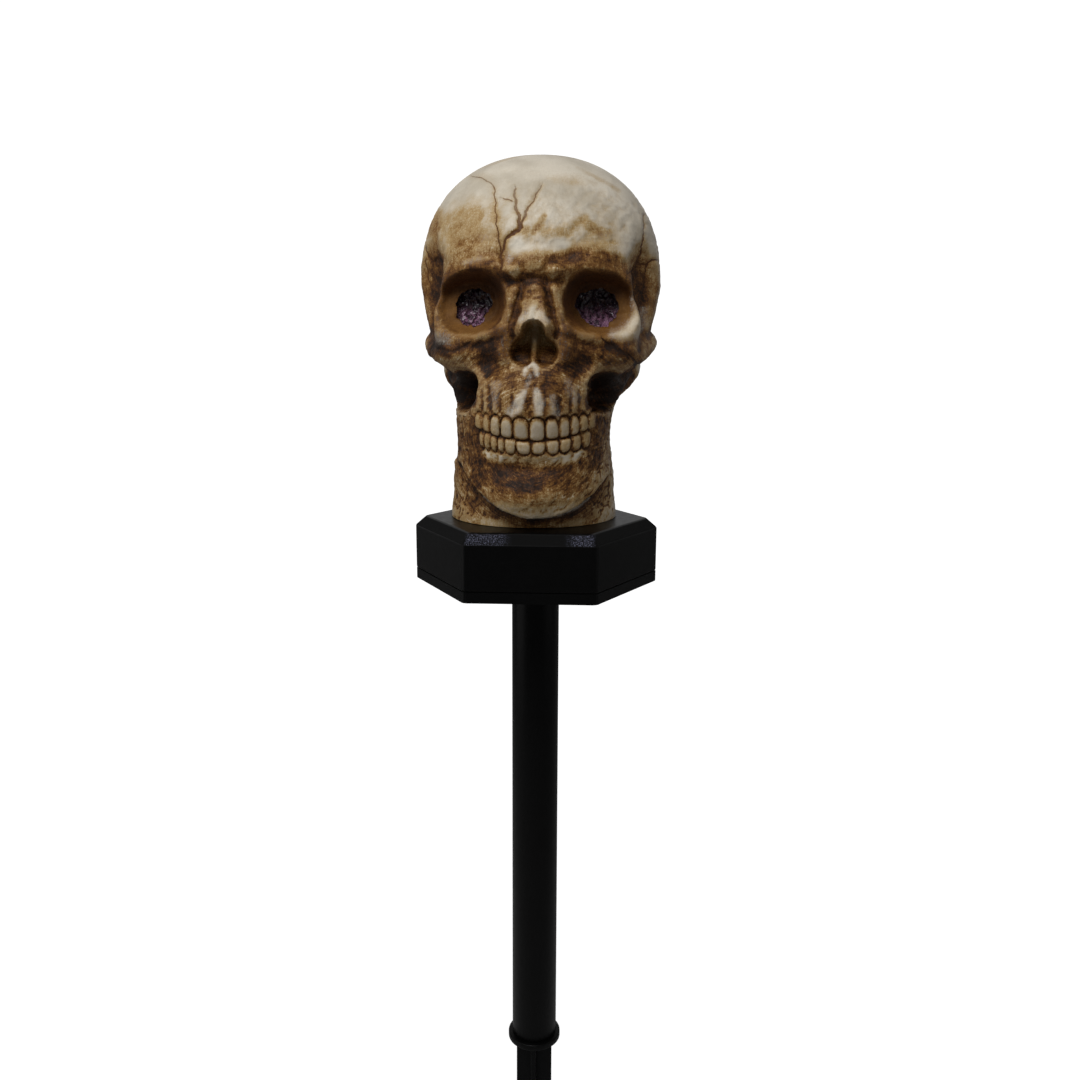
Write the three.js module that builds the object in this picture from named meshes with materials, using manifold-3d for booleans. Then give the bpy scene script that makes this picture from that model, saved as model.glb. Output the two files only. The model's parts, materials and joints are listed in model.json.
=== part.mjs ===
// Solar skull light on a ground spike, in millimetres, +Z up.
// The origin is on the tube's axis at ground level, under the spike's flange; the face looks towards -Y.
import * as THREE from 'three';
import { mergeVertices } from 'three/addons/utils/BufferGeometryUtils.js';
import Module from 'manifold-3d';

const wasm = await Module();
wasm.setup();

// Gap left between pieces that touch, and how far a cut runs past the face it opens
const GAP = 0.3;
const OVERRUN = 1;

// Tube and ground spike
const TUBE_RADIUS = 12.5;
const TUBE_WALL = 1;
const TUBE_SHOWING = 268.2;
const TUBE_IN_SOCKET = 24;
const FLANGE_RADIUS = 14.8;
const FLANGE_THICKNESS = 3.5;
const PLUG_LENGTH = 30;
const PLUG_WALL = 1.8;
const COLLAR_RADIUS = 10.6;
const COLLAR_HEIGHT = 2.5;
const SPIKE_DEPTH = 185;
const SPIKE_STRAIGHT_DEPTH = 112;
const SPIKE_WIDTH = 20.2;
const SPIKE_TIP_WIDTH = 2.4;
const FIN_THICKNESS = 2.6;

// Six-sided base: a housing over a bottom cover
const BASE_CORNER_RADIUS = 63.8;
const BASE_HEIGHT = 33.5;
const BASE_EDGE_ROUND = 3;
const BASE_CHAMFER = 5;
const BASE_WALL = 2.4;
const COVER_HEIGHT = 5.35;
const SOCKET_WALL = 2.4;

// Screws
const SCREW_RADIUS = 1.25;
const SCREW_HEAD_RADIUS = 2.6;
const SCREW_HEAD_HEIGHT = 1.6;
const SCREW_BITE = 8;
const BOSS_WALL = 2.6;

// Circuit board and what stands on it
const BOARD_LENGTH = 52;
const BOARD_DEPTH = 22;
const BOARD_THICKNESS = 1.6;
const BOARD_CENTRE_Y = -33.5;
const BOARD_SCREW_INSET = 4;
const BOARD_SCREW_RADIUS = 1;
const BOARD_SCREW_HEAD_RADIUS = 1.9;
const BOARD_SCREW_HEAD_HEIGHT = 1.3;
const CHIP_LENGTH = 5;
const CHIP_DEPTH = 4;
const CHIP_HEIGHT = 1.5;
const COIL_RADIUS = 3.2;
const COIL_WAIST = 2.2;
const COIL_HEIGHT = 5;
const CONNECTOR_LENGTH = 13;
const CONNECTOR_DEPTH = 5;
const CONNECTOR_HEIGHT = 6;

// Slide switch under the board
const SWITCH_LENGTH = 12;
const SWITCH_DEPTH = 6;
const SWITCH_HEIGHT = 4.4;
const SLIDER_LENGTH = 3;
const SLIDER_DEPTH = 2.6;
const SLIDER_TRAVEL = 4;
const SLIDER_ENGAGED = 1.6;
const SLIDER_SUNK = 0.4;

// Rechargeable cell and its bay
const CELL_RADIUS = 7.15;
const CELL_LENGTH = 50.5;
const CELL_NUB_RADIUS = 2.75;
const CELL_NUB_LENGTH = 1;
const CELL_CENTRE_Y = 31;
const BAY_WALL = 1.6;
const BAY_PLAY = 2;
const CONTACT_THICKNESS = 0.5;
const CONTACT_HEIGHT = 9;
const SPRING_LENGTH = 3.4;
const SPRING_WIRE_RADIUS = 0.4;
const SPRING_SMALL_RADIUS = 2;
const SPRING_LARGE_RADIUS = 3.6;
const SPRING_TURNS = 2;
const DOOR_THICKNESS = 2;

// Skull moulding
const SKULL_HEIGHT = 181;
const SKULL_WALL = 3.2;
const SKULL_BOSS_RADIUS = 5;
const SKULL_BOSS_HEIGHT = 15;
const TOOTH_DEPTH = 2.6;

// Eyes: a ragged hole, a crackled lens behind it, then a lamp in a round holder
const EYE_HOLE_RADIUS = 10.2;
const EYE_TUBE_RADIUS = 11.8;
const EYE_TUBE_WALL = 2.6;
const EYE_TUBE_LENGTH = 17;
const LENS_THICKNESS = 1.2;
const LENS_BULGE = 2;
const LENS_RIM = 2;
const HOLDER_THICKNESS = 4;
const HOLDER_SETBACK = 7;
const LAMP_RADIUS = 2.5;
const LAMP_FLANGE_RADIUS = 2.9;
const LAMP_FLANGE_THICKNESS = 1;
const LAMP_LENGTH = 8.6;

// Solar panel in the back of the head
const PANEL_TILT = 40;
const PANEL_THICKNESS = 2.4;
const FRAME_SIZE = 40;
const FRAME_BORDER = 3.5;
const FRAME_THICKNESS = 3.5;
const FRAME_LIP = 1.6;
const FRAME_LIP_THICKNESS = 0.8;
const GASKET_THICKNESS = 0.8;
const LEDGE_WIDTH = 5;
const LEDGE_THICKNESS = 2.6;
const SOCKET_RIM = 3;

// Cables
const CABLE_RADIUS = 1;
const CABLE_PITCH = 3.5;
const CABLE_HOLE_RADIUS = 6;
const CABLE_HOLE_X = 18;
const CABLE_HOLE_Y = -14;
const CABLE_BEND = 5;

// Heights that follow from the sizes above
const TUBE_BOTTOM = FLANGE_THICKNESS + GAP;
const BASE_BOTTOM = TUBE_BOTTOM + TUBE_SHOWING;
const BASE_TOP = BASE_BOTTOM + BASE_HEIGHT;
const COVER_FLOOR = BASE_BOTTOM + BASE_WALL;
const COVER_TOP = BASE_BOTTOM + COVER_HEIGHT;
const ROOF = BASE_TOP - BASE_WALL;
const SKULL_FOOT = BASE_TOP + GAP;
const SWITCH_BOTTOM = COVER_FLOOR + GAP;
const BOARD_BOTTOM = SWITCH_BOTTOM + SWITCH_HEIGHT + GAP;
const BOARD_TOP = BOARD_BOTTOM + BOARD_THICKNESS;
const TUBE_TOP = BASE_BOTTOM + TUBE_IN_SOCKET;

// How finely round pieces are divided
const ROUND = 40;
const MEDIUM_ROUND = 24;
const SMALL_ROUND = 12;
const CABLE_SIDES = 8;
const CABLE_STEPS = 32;
const SPRING_SIDES = 6;
const SPRING_STEPS = 24;

// The skull's shares are hundredths of its height. Each row of the outline holds the height above the foot,
// the half width, the front and the back from the tube's axis, and how square the section is.
const WHOLE_SHARE = 100;
const HUNDREDTH = SKULL_HEIGHT / WHOLE_SHARE;
const OUTLINE_SHARES = [
  [-6.6, 23.4, -24, 25.5, 2], [0, 23.4, -26, 25.5, 2], [5.5, 23.3, -27.6, 26, 2.05],
  [11, 22.7, -28.6, 27, 2.15], [17.5, 21.9, -28.3, 30.5, 2.25], [24, 21.8, -29.7, 35.5, 2.3],
  [30, 22.4, -30.8, 39.5, 2.3], [36, 24.2, -30.5, 42.5, 2.25], [43, 27.6, -29.6, 44.5, 2.2],
  [49.5, 30.4, -28.9, 46, 2.2], [57, 32.4, -28.5, 46.7, 2.2], [65, 33.8, -28.5, 46.3, 2.15],
  [71.5, 34.4, -29, 46.2, 2.1],
];
const CROWN_START_SHARE = 65;
const CROWN_POWER = 2.25;
// The middle line's distance behind the tube's axis at the foot and higher up, and where it stops moving
const SPINE_SHARES = [3.3, 8.2];
const SPINE_TOP_SHARE = 50;
// The neck's half width, front and back, its flare at the foot, and the heights that the flare fades between
const NECK_SHARES = [23.2, -19.8, 25.4];
const NECK_FLARE = 0.03;
const FLARE_SHARES = [8, 1];
// The jaw's edge: its height at the chin, how much it rises, and the distance across that it rises over
const JAW_EDGE_SHARES = [3.9, 6.3, 16.5];
const JAW_EDGE_POWER = 2.2;
const JAW_EDGE_DEPTH_SHARE = 2;
const JAW_SIDE_SHARE = 22;
// Behind this distance the jaw runs softly into the neck, between these heights
const NAPE_SHARE = 3.3;
const NAPE_BLEND_SHARES = [4, 32];
// Where the face's relief fades out round the sides, and where the side's relief fades in
const FACE_FADE_SHARES = [11, -5];
const SIDE_FADE_SHARES = [16.5, 24.5];
// Round swellings and hollows of the face: how far out, centre across and up, half sizes across and up
const FACE_DOME_SHARES = [
  [1.6, 0, 77, 21, 14],
  [2.2, 0, 69, 9, 4.6],
  [-2.6, 0, 64.4, 6.6, 3.2],
  [2.6, 22, 47, 9, 6.5],
  [2.5, 0, 36, 17, 12],
  [-2, 11.5, 43.5, 4.5, 5],
  [2, 0, 9.5, 13, 6.5],
  [-1.4, 0, 17, 14, 4],
  [1.2, 16.5, 71.5, 8, 3.5],
];
// Ridges of the face: how far out, then points across, up and half width
const FACE_RIDGE_SHARES = [
  [2, [5.5, 66.6, 3], [12, 68, 3.8], [19, 67.6, 4], [24.5, 64, 3.4]],
  [2, [5, 62, 2.6], [6.6, 55, 3.1], [8.2, 46, 3.6]],
  [1.3, [9, 52.3, 2.4], [15.5, 50.2, 2.4], [23, 51.2, 2.6]],
];
// The nose: its bone's line, how far that stands out at each end, and the opening under it as three ovals
const NOSE_BONE_SHARES = [[0, 64, 3.4], [0, 59.5, 3.7], [0, 53, 5]];
const NOSE_BONE_EDGE = [1.25, 0.6];
const NOSE_RISE_SHARES = [1.8, 4.6];
const NOSE_OPENING_SHARES = [[0, 50.3, 3.3, 2.8], [2.5, 46.8, 3.3, 3.3], [0, 48.8, 4.3, 3.2]];
const NOSE_OPENING_EDGE = [1.15, 0.7];
const NOSE_DEPTH_SHARE = 7;
// The eye sockets: an oval that is pressed down to a flat floor
const ORBIT_SHARES = [16.4, 59.2, 9, 7.7];
const ORBIT_FLOOR_SHARE = -17.2;
const ORBIT_TILT = -8;
const ORBIT_POWER = 2.4;
const ORBIT_EDGE = [1.08, 0.64];
// Hollows and swellings of the sides: how far out, centre back and up, half sizes back and up
const SIDE_DOME_SHARES = [
  [-4.6, -11.5, 64, 10.5, 15],
  [-2.6, -8, 40.5, 12, 5],
  [3.2, 15, 39, 7.5, 8],
  [2.2, -18, 59.5, 5, 12],
  [-2.2, 9, 26, 6.5, 13],
];
const CHEEK_ARCH_SHARES = [[-21, 45, 6], [-12, 45, 6], [-2, 47, 5.4], [6, 49, 4.2]];
const CHEEK_ARCH_OUT_SHARE = 3;
const CHEEK_HOLLOW_SHARES = [19.5, 36.5, 4.7, 5.8];
const CHEEK_HOLLOW_DEPTH_SHARE = 9;
const CHEEK_HOLLOW_TILT = 14;
const CHEEK_HOLLOW_POWER = 2.6;
const CHEEK_HOLLOW_EDGE = [1.1, 0.6];
const CHEEK_HOLLOW_FADE_SHARES = [3, -5];
const LEAST_RADIUS_SHARE = 3;
// Teeth: half the upper and half the lower row, each as its middle across and its half width
const UPPER_TEETH_SHARES = [[2.25, 2.1], [6.3, 1.75], [9.7, 1.6], [12.4, 1.2]];
const LOWER_TEETH_SHARES = [[1.75, 1.6], [5.2, 1.55], [8.5, 1.5], [11.3, 1.15]];
const UPPER_ROW_SHARES = [27.4, 2.9];
const LOWER_ROW_SHARES = [22.1, 2];
const UPPER_TOOTH_TAPER = 1.15;
const LOWER_TOOTH_TAPER = 0.87;
const TEETH_LIFT_SHARE = 2;
const TOOTH_ROW_HALF_SHARE = 12.4;
// An eye's place across and up, and the panel's slope: its centre back and up, and its distance from there
const EYE_SHARES = [16.3, 57.8];
const PANEL_SHARES = [8.2, 65, 33.6];
// Where the cables run inside the skull: across, back and up
const LEFT_CABLE_SHARES = [[-1.1, -2.2, 18.8], [-7.7, 2.2, 43.5], [-13.9, 3.3, 54.4], [-16.3, -1.1, 57.8]];
const RIGHT_CABLE_SHARES = [[7.7, -2.2, 18.8], [9.3, 2.2, 43.5], [13.9, 3.3, 54.4], [16.3, -1.1, 57.8]];
const PANEL_CABLE_SHARES = [[13.5, 2.5, 18.8], [16.5, 10.5, 43.5], [18.5, 14, 62.7], [13.5, 21, 75]];

// Places in the skull that follow from its shares
const SKULL_BOSS_CIRCLE = NECK_SHARES[0] * HUNDREDTH - SKULL_WALL - SKULL_BOSS_RADIUS + GAP;
const SKULL_BOSS_CENTRE_Y = SPINE_SHARES[0] * HUNDREDTH;
const EYE_CENTRE_X = EYE_SHARES[0] * HUNDREDTH;
const EYE_RISE = EYE_SHARES[1] * HUNDREDTH;
const EYE_SEAT_Y = ORBIT_FLOOR_SHARE * HUNDREDTH + SKULL_WALL;
const PANEL_CENTRE_Y = PANEL_SHARES[0] * HUNDREDTH;
const PANEL_CENTRE_RISE = PANEL_SHARES[1] * HUNDREDTH;
const PANEL_REACH = PANEL_SHARES[2] * HUNDREDTH;
const PANEL_SIZE = FRAME_SIZE - 2 * FRAME_BORDER;

// Turns a closed geometry into a solid that can be joined or cut.
function solid(geometry) {
  const bare = geometry.clone();
  bare.deleteAttribute('normal');
  bare.deleteAttribute('uv');
  const merged = mergeVertices(bare);
  const mesh = new wasm.Mesh({
    numProp: 3,
    vertProperties: new Float32Array(merged.attributes.position.array),
    triVerts: new Uint32Array(merged.index.array),
  });
  return new wasm.Manifold(mesh);
}

// Turns a solid back into a geometry.
function geometryOf(body) {
  const mesh = body.getMesh();
  const geometry = new THREE.BufferGeometry();
  geometry.setAttribute('position', new THREE.BufferAttribute(new Float32Array(mesh.vertProperties), 3));
  geometry.setIndex(new THREE.BufferAttribute(new Uint32Array(mesh.triVerts), 1));
  geometry.computeVertexNormals();
  return geometry;
}

// Joins the first list of solids and cuts the second list from the result.
function joined(adds, cuts = []) {
  const whole = adds.slice(1).reduce((sum, body) => sum.add(body), adds[0]);
  return cuts.reduce((sum, body) => sum.subtract(body), whole);
}

// An upright round bar from one height to another.
function bar(radius, low, high, x = 0, y = 0, sides = ROUND) {
  const geometry = new THREE.CylinderGeometry(radius, radius, high - low, sides);
  geometry.rotateX(Math.PI / 2);
  geometry.translate(x, y, (low + high) / 2);
  return solid(geometry);
}

// A box between two corners.
function block(low, high) {
  const size = high.map((value, k) => value - low[k]);
  const geometry = new THREE.BoxGeometry(...size);
  geometry.translate(...high.map((value, k) => (value + low[k]) / 2));
  return solid(geometry);
}

// A form turned about the Z axis from a profile of [radius, height] pairs.
function turned(profile, sides = ROUND) {
  const points = profile.map(([radius, height]) => new THREE.Vector2(radius, height));
  const geometry = new THREE.LatheGeometry(points, sides);
  geometry.rotateX(Math.PI / 2);
  return geometry;
}

// A closed skin over rings of points, with a fan at each end.
function skin(rings) {
  const count = rings[0].length;
  const last = (rings.length - 1) * count;
  const middle = (ring) => [0, 1, 2].map((k) => ring.reduce((sum, point) => sum + point[k], 0) / count);
  const points = [...rings.flat(), middle(rings[0]), middle(rings[rings.length - 1])];
  const faces = [];
  for (let side = 0; side < count; side += 1) {
    const next = (side + 1) % count;
    for (let row = 0; row < last; row += count) {
      faces.push(row + side, row + next, row + count + next);
      faces.push(row + side, row + count + next, row + count + side);
    }
    faces.push(last + count, next, side);
    faces.push(last + side, last + next, last + count + 1);
  }
  const geometry = new THREE.BufferGeometry();
  geometry.setAttribute('position', new THREE.Float32BufferAttribute(points.flat(), 3));
  geometry.setIndex(faces);
  return geometry;
}

// One ring of a six-sided outline with rounded corners, two flats facing front and back.
function hexRing(cornerRadius, round, height) {
  const steps = [-1, 0, 1];
  const ring = [];
  for (let corner = 0; corner < 6; corner += 1) {
    const angle = (corner * Math.PI) / 3;
    const centre = cornerRadius - round / Math.cos(Math.PI / 6);
    for (const step of steps) {
      const turn = angle + (step * Math.PI) / 6;
      ring.push([
        centre * Math.cos(angle) + round * Math.cos(turn),
        centre * Math.sin(angle) + round * Math.sin(turn),
        height,
      ]);
    }
  }
  return ring;
}

// A six-sided block, its outline drawn in by an inset from the base's.
function hexBlock(inset, low, high) {
  const corner = BASE_CORNER_RADIUS - inset / Math.cos(Math.PI / 6);
  const round = Math.max(BASE_EDGE_ROUND - inset, GAP);
  return solid(skin([hexRing(corner, round, low), hexRing(corner, round, high)]));
}

// A countersunk or pan-headed screw standing on its head, drawn upwards.
function screwGeometry(radius, headRadius, headHeight, shaft) {
  return turned([[0, 0], [headRadius, 0], [headRadius, headHeight], [radius, headHeight],
    [radius, headHeight + shaft], [0, headHeight + shaft]], SMALL_ROUND);
}

const light = new THREE.Group();

// Adds a named mesh with its own material.
function addPiece(name, geometry, color, roughness = 0.6, metalness = 0, parent = light) {
  const material = new THREE.MeshStandardMaterial({ color, roughness, metalness });
  const mesh = new THREE.Mesh(geometry, material);
  mesh.name = name;
  parent.add(mesh);
  return mesh;
}

const BLACK = 0x161616;
const BONE = 0xb9a27c;
const STEEL = 0xb4b6ba;
const BRASS = 0xb08d3c;
const GREEN = 0x1f5a38;
const PURPLE = 0x4a2352;
const WHITE = 0xe8e6df;

// One upright fin of the spike: straight, then tapering to the tip, along X or Y.
function fin(alongY) {
  const outline = new THREE.Shape([
    new THREE.Vector2(-SPIKE_WIDTH / 2, -COLLAR_HEIGHT),
    new THREE.Vector2(-SPIKE_WIDTH / 2, -SPIKE_STRAIGHT_DEPTH),
    new THREE.Vector2(-SPIKE_TIP_WIDTH / 2, -SPIKE_DEPTH),
    new THREE.Vector2(SPIKE_TIP_WIDTH / 2, -SPIKE_DEPTH),
    new THREE.Vector2(SPIKE_WIDTH / 2, -SPIKE_STRAIGHT_DEPTH),
    new THREE.Vector2(SPIKE_WIDTH / 2, -COLLAR_HEIGHT),
  ]);
  const geometry = new THREE.ExtrudeGeometry(outline, { depth: FIN_THICKNESS, bevelEnabled: false });
  geometry.translate(0, 0, -FIN_THICKNESS / 2);
  geometry.rotateX(Math.PI / 2);
  if (alongY) geometry.rotateZ(Math.PI / 2);
  return solid(geometry);
}

// Ground spike: hollow plug, flange, collar and two crossed fins in one moulding.
function addGroundSpike() {
  const plugRadius = TUBE_RADIUS - TUBE_WALL - GAP;
  const plugTop = FLANGE_THICKNESS + PLUG_LENGTH;
  const hollow = plugRadius - PLUG_WALL;
  const body = solid(turned([[0, -COLLAR_HEIGHT], [COLLAR_RADIUS, -COLLAR_HEIGHT], [COLLAR_RADIUS, 0],
    [FLANGE_RADIUS, 0], [FLANGE_RADIUS, FLANGE_THICKNESS], [plugRadius, FLANGE_THICKNESS],
    [plugRadius, plugTop], [hollow, plugTop], [hollow, FLANGE_THICKNESS], [0, FLANGE_THICKNESS]]));
  addPiece('ground_spike', geometryOf(joined([body, fin(false), fin(true)])), BLACK, 0.45);
}

// Pole: a plain round tube from the flange up into the base's socket.
function addPoleTube() {
  const inner = TUBE_RADIUS - TUBE_WALL;
  addPiece('pole_tube', turned([[inner, TUBE_BOTTOM], [TUBE_RADIUS, TUBE_BOTTOM], [TUBE_RADIUS, TUBE_TOP],
    [inner, TUBE_TOP], [inner, TUBE_BOTTOM]]), BLACK, 0.4);
}

// Where the three cover screws stand: in every second corner of the base.
const COVER_BOSS_INSET = (BASE_WALL + BOSS_WALL + SCREW_RADIUS) / Math.cos(Math.PI / 6);
const COVER_BOSS_CIRCLE = BASE_CORNER_RADIUS - COVER_BOSS_INSET;
const COVER_BOSS_RADIUS = SCREW_RADIUS + GAP + BOSS_WALL;
const coverScrewPlaces = [0, 1, 2].map((k) => {
  const angle = (k * 2 * Math.PI) / 3;
  return [COVER_BOSS_CIRCLE * Math.cos(angle), COVER_BOSS_CIRCLE * Math.sin(angle)];
});

// Where the three skull screws stand: on a circle round the foot of the skull.
const skullScrewPlaces = [0, 1, 2].map((k) => {
  const angle = Math.PI / 6 + (k * 2 * Math.PI) / 3;
  return [SKULL_BOSS_CIRCLE * Math.cos(angle), SKULL_BOSS_CENTRE_Y + SKULL_BOSS_CIRCLE * Math.sin(angle)];
});

// Base housing: six-sided shell with a chamfered top, screw bosses and holes for screws and cables.
function addBaseHousing() {
  const low = COVER_TOP + GAP;
  const chamferCorner = BASE_CORNER_RADIUS - BASE_CHAMFER / Math.cos(Math.PI / 6);
  const shell = solid(skin([
    hexRing(BASE_CORNER_RADIUS, BASE_EDGE_ROUND, low),
    hexRing(BASE_CORNER_RADIUS, BASE_EDGE_ROUND, BASE_TOP - BASE_CHAMFER),
    hexRing(chamferCorner, BASE_EDGE_ROUND, BASE_TOP),
  ]));
  const insideCorner = BASE_CORNER_RADIUS - BASE_WALL / Math.cos(Math.PI / 6);
  const roofCorner = chamferCorner - BASE_WALL / Math.cos(Math.PI / 6);
  const inside = solid(skin([
    hexRing(insideCorner, GAP, low - OVERRUN),
    hexRing(insideCorner, GAP, BASE_TOP - BASE_CHAMFER - BASE_WALL),
    hexRing(roofCorner, GAP, ROOF),
  ]));
  const bosses = coverScrewPlaces.map(([x, y]) => bar(COVER_BOSS_RADIUS, low, ROOF + BASE_WALL / 2,
    x, y, SMALL_ROUND).intersect(shell));
  const pilots = coverScrewPlaces.map(([x, y]) => bar(SCREW_RADIUS + GAP, low - OVERRUN,
    low + SCREW_BITE + OVERRUN, x, y, SMALL_ROUND));
  const holes = skullScrewPlaces.map(([x, y]) => bar(SCREW_RADIUS + GAP, ROOF - OVERRUN, BASE_TOP + OVERRUN,
    x, y, SMALL_ROUND));
  const cableHole = bar(CABLE_HOLE_RADIUS, ROOF - OVERRUN, BASE_TOP + OVERRUN,
    CABLE_HOLE_X, CABLE_HOLE_Y, SMALL_ROUND);
  const body = joined([shell.subtract(inside), ...bosses], [...pilots, ...holes, cableHole]);
  addPiece('base_housing', geometryOf(body), BLACK, 0.35);
}

// Cell bay: where its inside lies, and the thick wall that takes the door's screw.
const BAY_END = CELL_LENGTH / 2 + (SPRING_LENGTH + CONTACT_THICKNESS + 4 * GAP) / 2;
const CELL_CENTRE_X = -(SPRING_LENGTH - CONTACT_THICKNESS) / 2;
const BAY_HALF_DEPTH = CELL_RADIUS + BAY_PLAY;
const BAY_SCREW_WALL = 2 * (SCREW_RADIUS + GAP + BAY_WALL);
const BAY_TOP = COVER_FLOOR + 2 * CELL_RADIUS + 2 * GAP;
const CELL_CENTRE_Z = COVER_FLOOR + GAP + CELL_RADIUS;
const DOOR_LEFT = -BAY_END - BAY_WALL;
const DOOR_RIGHT = BAY_END + BAY_SCREW_WALL;
const DOOR_SCREW_X = BAY_END + BAY_SCREW_WALL / 2;

// Base cover: six-sided tray with the tube socket, cell bay, board posts and the openings through it.
function addBaseCover() {
  const tray = hexBlock(0, BASE_BOTTOM, COVER_TOP);
  const pocket = hexBlock(BASE_WALL, COVER_FLOOR, COVER_TOP + OVERRUN);
  const socketRadius = TUBE_RADIUS + GAP + SOCKET_WALL;
  const socketTop = TUBE_TOP + GAP + BASE_WALL;
  const socket = bar(socketRadius, COVER_FLOOR - BASE_WALL / 2, socketTop);
  const socketBore = bar(TUBE_RADIUS + GAP, BASE_BOTTOM - OVERRUN, TUBE_TOP + GAP);
  const screwSeats = coverScrewPlaces.map(([x, y]) => bar(COVER_BOSS_RADIUS, COVER_FLOOR - BASE_WALL / 2,
    COVER_TOP, x, y, SMALL_ROUND).intersect(tray));
  const screwHoles = coverScrewPlaces.flatMap(([x, y]) => [
    bar(SCREW_RADIUS + GAP, BASE_BOTTOM - OVERRUN, COVER_TOP + OVERRUN, x, y, SMALL_ROUND),
    bar(SCREW_HEAD_RADIUS + GAP, BASE_BOTTOM - OVERRUN, BASE_BOTTOM + SCREW_HEAD_HEIGHT + 2 * GAP,
      x, y, SMALL_ROUND),
  ]);
  const postX = BOARD_LENGTH / 2 - BOARD_SCREW_INSET;
  const posts = [-postX, postX].map((x) => bar(BOARD_SCREW_RADIUS + GAP + BAY_WALL,
    COVER_FLOOR - BASE_WALL / 2, BOARD_BOTTOM - GAP, x, BOARD_CENTRE_Y, SMALL_ROUND));
  const postHoles = [-postX, postX].map((x) => bar(BOARD_SCREW_RADIUS + GAP, COVER_FLOOR, BOARD_BOTTOM, x,
    BOARD_CENTRE_Y, SMALL_ROUND));
  const front = CELL_CENTRE_Y - BAY_HALF_DEPTH;
  const back = CELL_CENTRE_Y + BAY_HALF_DEPTH;
  const bay = block([DOOR_LEFT - BAY_WALL, front - BAY_WALL, COVER_FLOOR - BASE_WALL / 2],
    [DOOR_RIGHT + BAY_WALL, back + BAY_WALL, BAY_TOP + BAY_WALL]);
  const bayInside = block([-BAY_END, front, BASE_BOTTOM - OVERRUN], [BAY_END, back, BAY_TOP]);
  const doorway = block([DOOR_LEFT, front, BASE_BOTTOM - OVERRUN],
    [DOOR_RIGHT, back, BASE_BOTTOM + DOOR_THICKNESS + GAP]);
  const doorPilot = bar(SCREW_RADIUS + GAP, BASE_BOTTOM, BASE_BOTTOM + DOOR_THICKNESS + SCREW_BITE + OVERRUN,
    DOOR_SCREW_X, CELL_CENTRE_Y, SMALL_ROUND);
  const slotHalf = (SLIDER_LENGTH + SLIDER_TRAVEL) / 2 + GAP;
  const slotDepth = SLIDER_DEPTH / 2 + GAP;
  const slot = block([-slotHalf, BOARD_CENTRE_Y - slotDepth, BASE_BOTTOM - OVERRUN],
    [slotHalf, BOARD_CENTRE_Y + slotDepth, COVER_FLOOR + OVERRUN]);
  const body = joined([tray.subtract(pocket), socket, ...screwSeats, ...posts, bay],
    [socketBore, ...screwHoles, ...postHoles, bayInside, doorway, doorPilot, slot]);
  addPiece('base_cover', geometryOf(body), BLACK, 0.4);
}

// Six screws: three through the cover into the housing, three through the housing's roof into the skull.
function addBaseScrews() {
  coverScrewPlaces.forEach(([x, y], k) => {
    const head = BASE_BOTTOM + GAP;
    const shaft = COVER_TOP + GAP + SCREW_BITE - head - SCREW_HEAD_HEIGHT;
    const screw = addPiece(`cover_screw_${k + 1}`,
      screwGeometry(SCREW_RADIUS, SCREW_HEAD_RADIUS, SCREW_HEAD_HEIGHT, shaft), STEEL, 0.35, 0.9);
    screw.position.set(x, y, head);
  });
  skullScrewPlaces.forEach(([x, y], k) => {
    const head = ROOF - GAP - SCREW_HEAD_HEIGHT;
    const shaft = SKULL_FOOT + SCREW_BITE - ROOF + GAP;
    const screw = addPiece(`skull_screw_${k + 1}`,
      screwGeometry(SCREW_RADIUS, SCREW_HEAD_RADIUS, SCREW_HEAD_HEIGHT, shaft), STEEL, 0.35, 0.9);
    screw.position.set(x, y, head);
  });
}

const CONNECTOR_Y = BOARD_CENTRE_Y + BOARD_DEPTH / 2 - CONNECTOR_DEPTH / 2 - GAP;

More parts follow.
